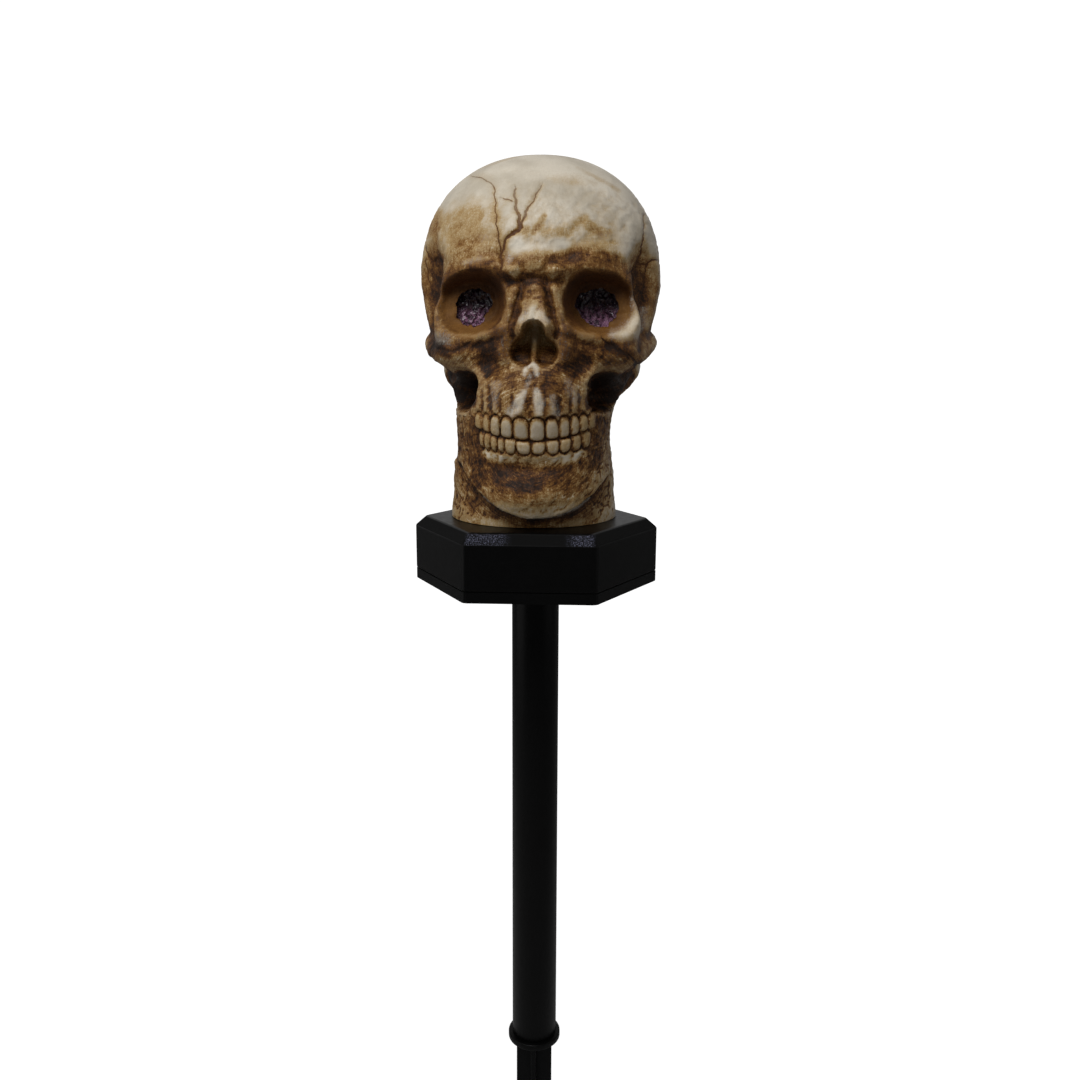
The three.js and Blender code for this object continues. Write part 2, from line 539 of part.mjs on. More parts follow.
// Circuit board with its two screws, chip, charging coil and cable connector.
function addBoard() {
  const postX = BOARD_LENGTH / 2 - BOARD_SCREW_INSET;
  const plate = block([-BOARD_LENGTH / 2, BOARD_CENTRE_Y - BOARD_DEPTH / 2, BOARD_BOTTOM],
    [BOARD_LENGTH / 2, BOARD_CENTRE_Y + BOARD_DEPTH / 2, BOARD_TOP]);
  const holes = [-postX, postX].map((x) => bar(BOARD_SCREW_RADIUS + GAP, BOARD_BOTTOM - OVERRUN,
    BOARD_TOP + OVERRUN, x, BOARD_CENTRE_Y, SMALL_ROUND));
  addPiece('circuit_board', geometryOf(joined([plate], holes)), GREEN, 0.5);
  [-postX, postX].forEach((x, k) => {
    const shaft = BOARD_THICKNESS + (BOARD_BOTTOM - COVER_FLOOR) - OVERRUN;
    const screw = addPiece(`board_screw_${k + 1}`, screwGeometry(BOARD_SCREW_RADIUS, BOARD_SCREW_HEAD_RADIUS,
      BOARD_SCREW_HEAD_HEIGHT, shaft), STEEL, 0.35, 0.9);
    screw.rotation.x = Math.PI;
    screw.position.set(x, BOARD_CENTRE_Y, BOARD_TOP + GAP + BOARD_SCREW_HEAD_HEIGHT);
  });
  const chip = addPiece('control_chip',
    new THREE.BoxGeometry(CHIP_LENGTH, CHIP_DEPTH, CHIP_HEIGHT), 0x222226);
  chip.position.set(-CHIP_LENGTH, BOARD_CENTRE_Y, BOARD_TOP + GAP + CHIP_HEIGHT / 2);
  const flange = COIL_HEIGHT / 5;
  const coil = addPiece('charging_coil', turned([[0, 0], [COIL_RADIUS, 0], [COIL_RADIUS, flange],
    [COIL_WAIST, flange], [COIL_WAIST, COIL_HEIGHT - flange], [COIL_RADIUS, COIL_HEIGHT - flange],
    [COIL_RADIUS, COIL_HEIGHT], [0, COIL_HEIGHT]], SMALL_ROUND), 0x3a3431, 0.5);
  coil.position.set(COIL_RADIUS, BOARD_CENTRE_Y, BOARD_TOP + GAP);
  const connector = addPiece('cable_connector',
    new THREE.BoxGeometry(CONNECTOR_LENGTH, CONNECTOR_DEPTH, CONNECTOR_HEIGHT), WHITE);
  connector.position.set(CABLE_HOLE_X - GAP, CONNECTOR_Y, BOARD_TOP + GAP + CONNECTOR_HEIGHT / 2);
}

// Slide switch: a body with a slot under it, and the slider that reaches down through the cover.
function addSwitch() {
  const slotHalf = (SLIDER_LENGTH + SLIDER_TRAVEL) / 2 + GAP;
  const slotDepth = SLIDER_DEPTH / 2 + GAP;
  const sliderTop = SWITCH_BOTTOM + SLIDER_ENGAGED;
  const body = block([-SWITCH_LENGTH / 2, BOARD_CENTRE_Y - SWITCH_DEPTH / 2, SWITCH_BOTTOM],
    [SWITCH_LENGTH / 2, BOARD_CENTRE_Y + SWITCH_DEPTH / 2, SWITCH_BOTTOM + SWITCH_HEIGHT]);
  const slot = block([-slotHalf, BOARD_CENTRE_Y - slotDepth, SWITCH_BOTTOM - OVERRUN],
    [slotHalf, BOARD_CENTRE_Y + slotDepth, sliderTop + GAP]);
  addPiece('switch_body', geometryOf(joined([body], [slot])), STEEL, 0.4, 0.7);
  const sliderHeight = sliderTop - BASE_BOTTOM - SLIDER_SUNK;
  const slider = addPiece('switch_slider',
    new THREE.BoxGeometry(SLIDER_LENGTH, SLIDER_DEPTH, sliderHeight), WHITE);
  slider.position.set(-SLIDER_TRAVEL / 2, BOARD_CENTRE_Y, sliderTop - sliderHeight / 2);
}

// Conical helix whose turns widen away from the cell.
class SpringCurve extends THREE.Curve {
  getPoint(t, target = new THREE.Vector3()) {
    const angle = t * SPRING_TURNS * 2 * Math.PI;
    const radius = SPRING_SMALL_RADIUS + (SPRING_LARGE_RADIUS - SPRING_SMALL_RADIUS) * t;
    const run = SPRING_LENGTH - 2 * SPRING_WIRE_RADIUS;
    return target.set(t * run, radius * Math.cos(angle), radius * Math.sin(angle));
  }
}

// A round section swept along a curve, closed at both ends.
function swept(curve, radius, steps, sides) {
  const section = new THREE.Shape();
  for (let k = 0; k < sides; k += 1) {
    const angle = (k * 2 * Math.PI) / sides;
    const place = [radius * Math.cos(angle), radius * Math.sin(angle)];
    if (k === 0) section.moveTo(...place);
    else section.lineTo(...place);
  }
  section.closePath();
  return new THREE.ExtrudeGeometry(section, { steps, extrudePath: curve, curveSegments: sides });
}

// The cell, its spring and contact plate, and the door with its screw.
function addPowerPack() {
  const cellEnd = CELL_LENGTH - CELL_NUB_LENGTH;
  const cell = addPiece('battery', turned([[0, 0], [CELL_RADIUS, 0], [CELL_RADIUS, cellEnd],
    [CELL_NUB_RADIUS, cellEnd], [CELL_NUB_RADIUS, CELL_LENGTH], [0, CELL_LENGTH]], MEDIUM_ROUND),
  0x2f7d4a, 0.4);
  cell.rotation.y = -Math.PI / 2;
  cell.position.set(CELL_CENTRE_X + CELL_LENGTH / 2, CELL_CENTRE_Y, CELL_CENTRE_Z);
  const spring = addPiece('battery_spring',
    swept(new SpringCurve(), SPRING_WIRE_RADIUS, SPRING_STEPS, SPRING_SIDES), STEEL, 0.3, 0.9);
  spring.position.set(CELL_CENTRE_X + CELL_LENGTH / 2 + GAP + SPRING_WIRE_RADIUS,
    CELL_CENTRE_Y, CELL_CENTRE_Z);
  const contact = addPiece('battery_contact',
    new THREE.BoxGeometry(CONTACT_THICKNESS, CONTACT_HEIGHT, CONTACT_HEIGHT), BRASS, 0.3, 0.9);
  contact.position.set(-BAY_END + GAP + CONTACT_THICKNESS / 2, CELL_CENTRE_Y, CELL_CENTRE_Z);
  const front = CELL_CENTRE_Y - BAY_HALF_DEPTH + GAP;
  const back = CELL_CENTRE_Y + BAY_HALF_DEPTH - GAP;
  const plate = block([DOOR_LEFT + GAP, front, BASE_BOTTOM],
    [DOOR_RIGHT - GAP, back, BASE_BOTTOM + DOOR_THICKNESS]);
  const hole = bar(SCREW_RADIUS + GAP, BASE_BOTTOM - OVERRUN, BASE_BOTTOM + DOOR_THICKNESS + OVERRUN,
    DOOR_SCREW_X, CELL_CENTRE_Y, SMALL_ROUND);
  const seat = bar(SCREW_HEAD_RADIUS + GAP, BASE_BOTTOM - OVERRUN, BASE_BOTTOM + DOOR_THICKNESS / 2,
    DOOR_SCREW_X, CELL_CENTRE_Y, SMALL_ROUND);
  addPiece('battery_door', geometryOf(joined([plate], [hole, seat])), BLACK, 0.4);
  const head = DOOR_THICKNESS / 2 - 2 * GAP;
  const screw = addPiece('door_screw', screwGeometry(SCREW_RADIUS, SCREW_HEAD_RADIUS, head,
    DOOR_THICKNESS / 2 + GAP + SCREW_BITE), STEEL, 0.35, 0.9);
  screw.position.set(DOOR_SCREW_X, CELL_CENTRE_Y, BASE_BOTTOM + GAP);
}

// Rises smoothly from 0 to 1 as a value goes from one end to the other.
function fade(value, from, to) {
  const x = Math.min(Math.max((value - from) / (to - from), 0), 1);
  return x * x * (3 - 2 * x);
}

// How far a place lies from an oval's centre, 1 on the oval itself.
function oval(a, b, [centreA, centreB, halfA, halfB], tilt = 0, power = 2) {
  const turn = THREE.MathUtils.degToRad(tilt);
  const across = Math.cos(turn) * (a - centreA) + Math.sin(turn) * (b - centreB);
  const up = Math.cos(turn) * (b - centreB) - Math.sin(turn) * (a - centreA);
  return (Math.abs(across / halfA) ** power + Math.abs(up / halfB) ** power) ** (1 / power);
}

function dome(q) {
  return Math.max(1 - q * q, 0) ** 2;
}

// How far a place lies from a line of points, 1 at the line's half width, and how far along it is.
function alongLine(a, b, points) {
  let nearest = [Infinity, 0];
  for (let k = 0; k + 1 < points.length; k += 1) {
    const [a0, b0, w0] = points[k];
    const [a1, b1, w1] = points[k + 1];
    const reach = (a1 - a0) ** 2 + (b1 - b0) ** 2;
    const t = Math.min(Math.max(((a - a0) * (a1 - a0) + (b - b0) * (b1 - b0)) / reach, 0), 1);
    const distance = Math.hypot(a - a0 - t * (a1 - a0), b - b0 - t * (b1 - b0)) / (w0 + (w1 - w0) * t);
    if (distance < nearest[0]) nearest = [distance, (k + t) / (points.length - 1)];
  }
  return nearest;
}

// One column of the outline at a height, smoothly between its rows.
function outlineAt(height, column) {
  let k = OUTLINE_SHARES.findIndex((row) => row[0] > height) - 1;
  k = Math.min(Math.max(k, 1), OUTLINE_SHARES.length - 3);
  const [before, low, high, after] = OUTLINE_SHARES.slice(k - 1, k + 3);
  const t = (height - low[0]) / (high[0] - low[0]);
  const lowSlope = ((high[column] - before[column]) / (high[0] - before[0])) * (high[0] - low[0]);
  const highSlope = ((after[column] - low[column]) / (after[0] - low[0])) * (high[0] - low[0]);
  return (2 * t ** 3 - 3 * t ** 2 + 1) * low[column] + (t ** 3 - 2 * t ** 2 + t) * lowSlope
    + (3 * t ** 2 - 2 * t ** 3) * high[column] + (t ** 3 - t ** 2) * highSlope;
}

// How far the face stands out from the plain outline at a place across and up.
function faceRelief(across, up) {
  let out = 0;
  for (const [amount, ...place] of FACE_DOME_SHARES) out += amount * dome(oval(across, up, place));
  for (const [amount, ...points] of FACE_RIDGE_SHARES) {
    out += amount * dome(alongLine(across, up, points)[0]);
  }
  const [bone, along] = alongLine(across, up, NOSE_BONE_SHARES);
  out += fade(bone, ...NOSE_BONE_EDGE) * (NOSE_RISE_SHARES[0] + NOSE_RISE_SHARES[1] * along);
  const opening = Math.min(...NOSE_OPENING_SHARES.map((place) => oval(across, up, place)));
  const open = fade(opening, ...NOSE_OPENING_EDGE);
  return out * (1 - open) - NOSE_DEPTH_SHARE * open;
}

// How far the side stands out at a place back from the axis and up.
function sideRelief(back, up) {
  let out = CHEEK_ARCH_OUT_SHARE * dome(alongLine(back, up, CHEEK_ARCH_SHARES)[0]);
  for (const [amount, ...place] of SIDE_DOME_SHARES) out += amount * dome(oval(back, up, place));
  return out;
}

// The middle line that each level of the skull is drawn round.
function spineAt(up) {
  return SPINE_SHARES[0] + (SPINE_SHARES[1] - SPINE_SHARES[0]) * fade(up, 0, SPINE_TOP_SHARE);
}

// The radius of a level drawn round the middle line, narrowed to the neck under the jaw's edge.
function levelRadius(sine, cosine, up) {
  const level = Math.min(up, CROWN_START_SHARE);
  const crown = Math.max(up - CROWN_START_SHARE, 0) / (WHOLE_SHARE - CROWN_START_SHARE);
  const closing = Math.max(1 - crown ** CROWN_POWER, 0) ** (1 / CROWN_POWER);
  const spine = spineAt(level);
  const reach = cosine > 0 ? spine - outlineAt(level, 2) : outlineAt(level, 3) - spine;
  const square = outlineAt(level, 4);
  const radius = closing / ((Math.abs(sine) / outlineAt(level, 1)) ** square
    + (Math.abs(cosine) / reach) ** square) ** (1 / square);
  const [neckHalf, neckFront, neckBack] = NECK_SHARES;
  const neckReach = cosine > 0 ? spine - neckFront : neckBack - spine;
  const flare = 1 + NECK_FLARE * fade(up, ...FLARE_SHARES);
  const neck = flare / Math.hypot(sine / neckHalf, cosine / neckReach);
  const [edgeLow, edgeRise, edgeHalf] = JAW_EDGE_SHARES;
  const across = Math.min(Math.abs(radius * sine), JAW_SIDE_SHARE);
  const edge = edgeLow + edgeRise * (across / edgeHalf) ** JAW_EDGE_POWER;
  const nape = spine - radius * cosine > NAPE_SHARE;
  const jaw = nape ? fade(up, ...NAPE_BLEND_SHARES) : fade(up, edge, edge + JAW_EDGE_DEPTH_SHARE);
  return neck + (radius - neck) * jaw;
}

// A point of the outside, in hundredths of the height, for a bearing round from the face and a level.
function skullPoint(bearing, up) {
  const sine = Math.sin(bearing);
  const cosine = Math.cos(bearing);
  const radius = levelRadius(sine, cosine, up);
  const spine = spineAt(Math.min(up, CROWN_START_SHARE));
  const y = spine - radius * cosine;
  const side = Math.abs(radius * sine);
  const face = fade(y, ...FACE_FADE_SHARES);
  const hollow = oval(side, up, CHEEK_HOLLOW_SHARES, CHEEK_HOLLOW_TILT, CHEEK_HOLLOW_POWER);
  const pressed = CHEEK_HOLLOW_DEPTH_SHARE * fade(hollow, ...CHEEK_HOLLOW_EDGE)
    * fade(y, ...CHEEK_HOLLOW_FADE_SHARES);
  const pushed = sideRelief(y, up) * fade(side, ...SIDE_FADE_SHARES);
  const shown = Math.max(radius - pressed + pushed, LEAST_RADIUS_SHARE);
  const plain = spine - shown * cosine - faceRelief(side, up) * face;
  const orbit = oval(side, up, ORBIT_SHARES, ORBIT_TILT, ORBIT_POWER);
  const bowl = fade(orbit, ...ORBIT_EDGE) * face;
  return [shown * sine, plain + (Math.max(ORBIT_FLOOR_SHARE, plain) - plain) * bowl, up];
}

// How finely the skull and its hollow are divided, and how the columns crowd towards the face
const SKULL_COLUMNS = 60;
const SKULL_ROWS = 42;
const CAVITY_COLUMNS = 28;
const CAVITY_ROWS = 20;
const ROWS_UNDER_CROWN_SHARE = 0.78;
const TOP_RING_STEP = 0.4;
const FACE_CROWDING = 0.58;
const SEEN_ANGLE = Math.PI / 24;

// The levels that rings are drawn at: even up to the crown, then closer towards the top.
function levels(count) {
  const below = Math.round(count * ROWS_UNDER_CROWN_SHARE);
  return Array.from({ length: count }, (_, k) => {
    if (k <= below) return (k / below) * CROWN_START_SHARE;
    const turn = ((k - below) / (count - below - TOP_RING_STEP)) * (Math.PI / 2);
    return CROWN_START_SHARE + (WHOLE_SHARE - CROWN_START_SHARE) * Math.sin(turn);
  });
}

// Bearings round the skull, closer together over the face.
function bearings(count) {
  return Array.from({ length: count }, (_, k) => {
    const even = ((k + 0.5) * 2 * Math.PI) / count - Math.PI;
    return even - FACE_CROWDING * Math.sin(even);
  });
}

function skullOutside() {
  const rings = levels(SKULL_ROWS).map((up) => bearings(SKULL_COLUMNS).map((bearing) => {
    const [x, y, z] = skullPoint(bearing, up);
    return [x * HUNDREDTH, y * HUNDREDTH, SKULL_FOOT + z * HUNDREDTH];
  }));
  return solid(skin(rings));
}

// The hollow keeps at least the wall behind the nearest part of the outside, seen from the middle line.
function skullCavity() {
  const wall = SKULL_WALL / HUNDREDTH;
  const samples = bearings(SKULL_COLUMNS * 3);
  const ups = levels(CAVITY_ROWS);
  const seen = ups.map((up) => samples.map((bearing) => {
    const [x, y] = skullPoint(bearing, up);
    const spine = spineAt(Math.min(up, CROWN_START_SHARE));
    return [Math.atan2(x, spine - y), Math.hypot(x, spine - y)];
  }));
  const rings = ups.map((up, row) => {
    const spine = spineAt(Math.min(up, CROWN_START_SHARE));
    const near = seen.slice(Math.max(row - 1, 0), row + 2).flat();
    const shrink = up > CROWN_START_SHARE ? 1 - wall / (WHOLE_SHARE - CROWN_START_SHARE) : 1;
    const z = CROWN_START_SHARE + (up - CROWN_START_SHARE) * shrink;
    return Array.from({ length: CAVITY_COLUMNS }, (_, k) => {
      const bearing = ((k + 0.5) * 2 * Math.PI) / CAVITY_COLUMNS - Math.PI;
      const close = near.filter(([angle]) => Math.cos(angle - bearing) > Math.cos(SEEN_ANGLE));
      const radius = Math.max(Math.min(...close.map(([, distance]) => distance)) - wall, wall / 4);
      return [radius * Math.sin(bearing) * HUNDREDTH, (spine - radius * Math.cos(bearing)) * HUNDREDTH,
        SKULL_FOOT + z * HUNDREDTH];
    });
  });
  const foot = rings[0].map(([x, y, z]) => [x, y, z - OVERRUN]);
  return solid(skin([foot, ...rings]));
}

// A short prism along Y with an outline given as shares of a radius.
function eyeCut(shares, radius, front, back, x) {
  const points = shares.map((share, k) => {
    const angle = (k * 2 * Math.PI) / shares.length;
    return new THREE.Vector2(radius * share * Math.cos(angle), radius * share * Math.sin(angle));
  });
  const outline = new THREE.Shape(points);
  const geometry = new THREE.ExtrudeGeometry(outline, { depth: back - front, bevelEnabled: false });
  geometry.rotateX(Math.PI / 2);
  geometry.translate(x, back, SKULL_FOOT + EYE_RISE);
  return solid(geometry);
}

const RAGGED_SHARES = [1, 0.93, 1.02, 0.88, 0.97, 0.94, 0.86, 0.95,
  1.03, 0.9, 0.99, 0.87, 1.01, 0.92, 0.96, 0.9];
const ROUND_SHARES = Array.from({ length: MEDIUM_ROUND }, () => 1);
const EYE_BACK = EYE_SEAT_Y + EYE_TUBE_LENGTH;
const FACE_TRIES = 6;
const TOOTH_SIDES = 8;

// The place on the face at a level that lies a given way across.
function facePlace(across, up) {
  let place = [across, OUTLINE_SHARES[0][2]];
  for (let tries = 0; tries < FACE_TRIES; tries += 1) {
    place = skullPoint(Math.atan2(across, spineAt(up) - place[1]), up);
  }
  return place;
}

// Teeth as tapered pegs half sunk in the gums, the rows rising a little towards their ends.
function teeth() {
  const rows = [
    [UPPER_TEETH_SHARES, UPPER_ROW_SHARES, UPPER_TOOTH_TAPER],
    [LOWER_TEETH_SHARES, LOWER_ROW_SHARES, LOWER_TOOTH_TAPER],
  ];
  return rows.flatMap(([row, [middle, half], taper]) => row.flatMap(([across, halfWidth]) => {
    const lift = TEETH_LIFT_SHARE * (across / TOOTH_ROW_HALF_SHARE) ** 2;
    const [x, y] = facePlace(across, middle);
    return [-1, 1].map((hand) => {
      const geometry = new THREE.CylinderGeometry(Math.sqrt(1 / taper), Math.sqrt(taper), 2, TOOTH_SIDES,
        1, false, Math.PI / TOOTH_SIDES);
      geometry.rotateX(Math.PI / 2);
      geometry.scale(halfWidth * HUNDREDTH, TOOTH_DEPTH, half * HUNDREDTH);
      geometry.rotateZ(Math.atan2(hand * x, spineAt(middle) - y));
      geometry.translate(hand * x * HUNDREDTH, y * HUNDREDTH, SKULL_FOOT + (middle + lift) * HUNDREDTH);
      return solid(geometry);
    });
  }));
}

// Sets a solid drawn round the Z axis on the panel's slope, at a distance from the slope's centre.
function onPanelSlope(geometry) {
  geometry.rotateX(THREE.MathUtils.degToRad(PANEL_TILT - 90));
  geometry.translate(0, PANEL_CENTRE_Y, SKULL_FOOT + PANEL_CENTRE_RISE);
  return geometry;
}

function slopeBlock(size, low, high) {
  const geometry = new THREE.BoxGeometry(size, size, high - low);
  geometry.translate(0, 0, (low + high) / 2);
  return solid(onPanelSlope(geometry));
}

const FRAME_LOW = PANEL_REACH - FRAME_THICKNESS;
const LEDGE_TOP = FRAME_LOW - GASKET_THICKNESS - 2 * GAP;
const LEDGE_HOLE = FRAME_SIZE - 2 * LEDGE_WIDTH;
const SEAT_RUN = SKULL_WALL + 3 * LEDGE_THICKNESS;

// The skull: a hollow moulding with ragged eye holes, lens tubes, a panel seat and three screw bosses.
function addSkull() {
  const outside = skullOutside();
  const shell = joined([outside, ...teeth()], [skullCavity()]);
  const tubes = [-1, 1].map((hand) => eyeCut(ROUND_SHARES, EYE_TUBE_RADIUS + EYE_TUBE_WALL,
    EYE_SEAT_Y - OVERRUN, EYE_BACK, hand * EYE_CENTRE_X));
  const bosses = skullScrewPlaces.map(([x, y]) => bar(SKULL_BOSS_RADIUS, SKULL_FOOT,
    SKULL_FOOT + SKULL_BOSS_HEIGHT, x, y, SMALL_ROUND));
  const seatSize = FRAME_SIZE + 2 * (GAP + SOCKET_RIM);
  const seat = slopeBlock(seatSize, LEDGE_TOP - LEDGE_THICKNESS, PANEL_REACH).intersect(outside);
  const cuts = [
    ...[-1, 1].map((hand) => eyeCut(ROUND_SHARES, EYE_TUBE_RADIUS, EYE_SEAT_Y, EYE_BACK + OVERRUN,
      hand * EYE_CENTRE_X)),
    ...[-1, 1].map((hand) => eyeCut(RAGGED_SHARES, EYE_HOLE_RADIUS, EYE_SEAT_Y - EYE_TUBE_LENGTH,
      EYE_SEAT_Y + OVERRUN, hand * EYE_CENTRE_X)),
    ...skullScrewPlaces.map(([x, y]) => bar(SCREW_RADIUS + GAP, SKULL_FOOT - OVERRUN,
      SKULL_FOOT + SCREW_BITE + OVERRUN, x, y, SMALL_ROUND)),
    slopeBlock(FRAME_SIZE + 2 * GAP, LEDGE_TOP, PANEL_REACH + SEAT_RUN),
    slopeBlock(LEDGE_HOLE, LEDGE_TOP - SEAT_RUN, LEDGE_TOP + OVERRUN),
  ];
  addPiece('skull_shell', geometryOf(joined([shell, ...tubes, ...bosses, seat], cuts)), BONE, 0.65);
}

// One eye's lens, lamp holder and lamp, all on one axis along Y.
function addEye(side, hand) {
  const group = new THREE.Group();
  group.position.set(hand * EYE_CENTRE_X, EYE_SEAT_Y, SKULL_FOOT + EYE_RISE);
  group.rotation.x = -Math.PI / 2;
  light.add(group);
  const fit = EYE_TUBE_RADIUS - GAP;
  const rim = fit - LENS_RIM;
  addPiece(`eye_lens_${side}`, turned([[0, GAP + LENS_BULGE], [rim, GAP], [fit, GAP],
    [fit, GAP + LENS_THICKNESS], [rim, GAP + LENS_THICKNESS], [0, GAP + LENS_BULGE + LENS_THICKNESS]],
  MEDIUM_ROUND), PURPLE, 0.2, 0, group);
  const hole = LAMP_RADIUS + GAP;
  addPiece(`lamp_holder_${side}`, turned([[hole, HOLDER_SETBACK], [fit, HOLDER_SETBACK],
    [fit, HOLDER_SETBACK + HOLDER_THICKNESS], [hole, HOLDER_SETBACK + HOLDER_THICKNESS],
    [hole, HOLDER_SETBACK]], MEDIUM_ROUND), BLACK, 0.6, 0, group);
  const back = HOLDER_SETBACK + HOLDER_THICKNESS + GAP;
  const shoulder = back + LAMP_FLANGE_THICKNESS - LAMP_LENGTH + LAMP_RADIUS;
  const flange = LAMP_FLANGE_RADIUS + GAP;
  const arc = [1, 2, 3].map((k) => {
    const turn = (k * Math.PI) / 8;
    return [LAMP_RADIUS * Math.sin(turn), shoulder - LAMP_RADIUS * Math.cos(turn)];
  });
  addPiece(`eye_lamp_${side}`, turned([[0, shoulder - LAMP_RADIUS], ...arc, [LAMP_RADIUS, shoulder],
    [LAMP_RADIUS, back], [flange, back], [flange, back + LAMP_FLANGE_THICKNESS],
    [0, back + LAMP_FLANGE_THICKNESS]], SMALL_ROUND), WHITE, 0.15, 0, group);
}

// Solar panel in its frame, on a gasket, all on the slope at the back of the head.
function addPanel() {
  const gasket = joined([slopeBlock(FRAME_SIZE, LEDGE_TOP + GAP, LEDGE_TOP + GAP + GASKET_THICKNESS)],
    [slopeBlock(LEDGE_HOLE, LEDGE_TOP, FRAME_LOW + OVERRUN)]);
  addPiece('panel_gasket', geometryOf(gasket), 0x2a2a2a, 0.9);
  const panelLow = FRAME_LOW + FRAME_LIP_THICKNESS + GAP;
  const frame = joined([slopeBlock(FRAME_SIZE, FRAME_LOW, FRAME_LOW + FRAME_THICKNESS)],
    [slopeBlock(PANEL_SIZE + 2 * GAP, panelLow - GAP, FRAME_LOW + FRAME_THICKNESS + OVERRUN),
      slopeBlock(PANEL_SIZE - 2 * FRAME_LIP, FRAME_LOW - OVERRUN, panelLow)]);
  addPiece('panel_frame', geometryOf(frame), BLACK, 0.5);
  addPiece('solar_panel', geometryOf(slopeBlock(PANEL_SIZE, panelLow, panelLow + PANEL_THICKNESS)),
    0x101c3a, 0.15);
}

// A cable run smoothly through chosen points.
function addCable(name, points, color) {
  const places = points.map(([x, y, z]) => new THREE.Vector3(x, y, z));
  const route = new THREE.CatmullRomCurve3(places, false, 'centripetal');
  addPiece(name, swept(route, CABLE_RADIUS, CABLE_STEPS, CABLE_SIDES), color, 0.6);
}

// Two lamp cables and the panel's cable, from the connector up through the roof and along the skull's walls.
function addCables() {
  const start = BOARD_TOP + 2 * GAP + CONNECTOR_HEIGHT;
  const lampBack = EYE_SEAT_Y + HOLDER_SETBACK + HOLDER_THICKNESS + LAMP_FLANGE_THICKNESS + 2 * GAP;
  const eyeZ = SKULL_FOOT + EYE_RISE;
  const riser = (x) => [
    [x, CONNECTOR_Y, start],
    [x, CONNECTOR_Y + 2 * CABLE_RADIUS, start + CABLE_BEND],
    [x, CABLE_HOLE_Y - CABLE_RADIUS, ROOF - CABLE_BEND / 2],
    [x, CABLE_HOLE_Y, BASE_TOP + CABLE_BEND],
  ];
  const inSkull = (shares) => shares.map(([x, y, z]) => [x * HUNDREDTH, y * HUNDREDTH,
    SKULL_FOOT + z * HUNDREDTH]);
  addCable('lamp_cable_left', [...riser(CABLE_HOLE_X - CABLE_PITCH), ...inSkull(LEFT_CABLE_SHARES),
    [-EYE_CENTRE_X, lampBack, eyeZ]], 0x7a1f1f);
  addCable('lamp_cable_right', [...riser(CABLE_HOLE_X), ...inSkull(RIGHT_CABLE_SHARES),
    [EYE_CENTRE_X, lampBack, eyeZ]], 0x7a1f1f);
  const slope = THREE.MathUtils.degToRad(PANEL_TILT);
  const onSlope = (x, distance) => [x, PANEL_CENTRE_Y + distance * Math.cos(slope),
    SKULL_FOOT + PANEL_CENTRE_RISE + distance * Math.sin(slope)];
  const panelBack = FRAME_LOW + FRAME_LIP_THICKNESS;
  addCable('panel_cable', [...riser(CABLE_HOLE_X + CABLE_PITCH), ...inSkull(PANEL_CABLE_SHARES),
    onSlope(1.6 * CABLE_BEND, panelBack - 2.8 * CABLE_BEND), onSlope(0, panelBack - CABLE_BEND),
    onSlope(0, panelBack)], 0x222222);
}

addGroundSpike();
addPoleTube();
addBaseHousing();
addBaseCover();
addBaseScrews();
addBoard();
addSwitch();
addPowerPack();
addSkull();
addEye('left', -1);
addEye('right', 1);
addPanel();
addCables();

export default light;
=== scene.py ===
"""Solar skull light on a ground spike: finely shaped pieces and finishes over the measured model.

Lengths are millimetres until a mesh is filled, and shares are hundredths of the skull's height.
"""

import json
import math

import bpy
import numpy as np
from mathutils import Matrix, Vector

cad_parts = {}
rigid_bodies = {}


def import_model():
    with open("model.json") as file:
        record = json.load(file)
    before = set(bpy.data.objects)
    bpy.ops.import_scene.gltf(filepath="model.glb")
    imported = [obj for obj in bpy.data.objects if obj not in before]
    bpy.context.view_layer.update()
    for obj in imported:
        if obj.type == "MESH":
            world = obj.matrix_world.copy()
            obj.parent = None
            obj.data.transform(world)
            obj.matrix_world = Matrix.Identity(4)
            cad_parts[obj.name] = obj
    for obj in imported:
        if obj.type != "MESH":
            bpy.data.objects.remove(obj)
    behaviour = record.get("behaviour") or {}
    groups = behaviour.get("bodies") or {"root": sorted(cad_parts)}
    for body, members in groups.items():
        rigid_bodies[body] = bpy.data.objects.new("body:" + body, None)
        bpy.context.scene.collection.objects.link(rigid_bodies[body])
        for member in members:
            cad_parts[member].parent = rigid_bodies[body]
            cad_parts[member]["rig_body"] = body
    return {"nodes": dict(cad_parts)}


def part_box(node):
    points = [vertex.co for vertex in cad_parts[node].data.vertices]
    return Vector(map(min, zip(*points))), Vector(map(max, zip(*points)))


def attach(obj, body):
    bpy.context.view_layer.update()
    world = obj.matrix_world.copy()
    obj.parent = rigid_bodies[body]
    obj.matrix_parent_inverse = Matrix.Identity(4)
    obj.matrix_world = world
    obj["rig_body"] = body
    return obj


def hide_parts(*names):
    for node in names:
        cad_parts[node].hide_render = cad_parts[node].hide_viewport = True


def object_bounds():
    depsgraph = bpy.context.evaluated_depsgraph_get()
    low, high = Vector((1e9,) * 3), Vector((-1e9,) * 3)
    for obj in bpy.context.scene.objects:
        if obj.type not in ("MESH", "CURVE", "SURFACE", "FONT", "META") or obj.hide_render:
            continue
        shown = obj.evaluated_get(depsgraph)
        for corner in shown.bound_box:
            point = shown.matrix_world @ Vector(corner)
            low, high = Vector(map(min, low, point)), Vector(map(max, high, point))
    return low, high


bl_info = {
    "name": "Solar skull light",
    "version": (1, 0, 0),
    "blender": (4, 5, 0),
    "location": "3D View > Sidebar > Skull light",
    "description": "Makes the pieces of a solar skull light on a ground spike, and its stage",
    "category": "Object",
}

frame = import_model()
CAD_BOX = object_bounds()
MM = 0.001


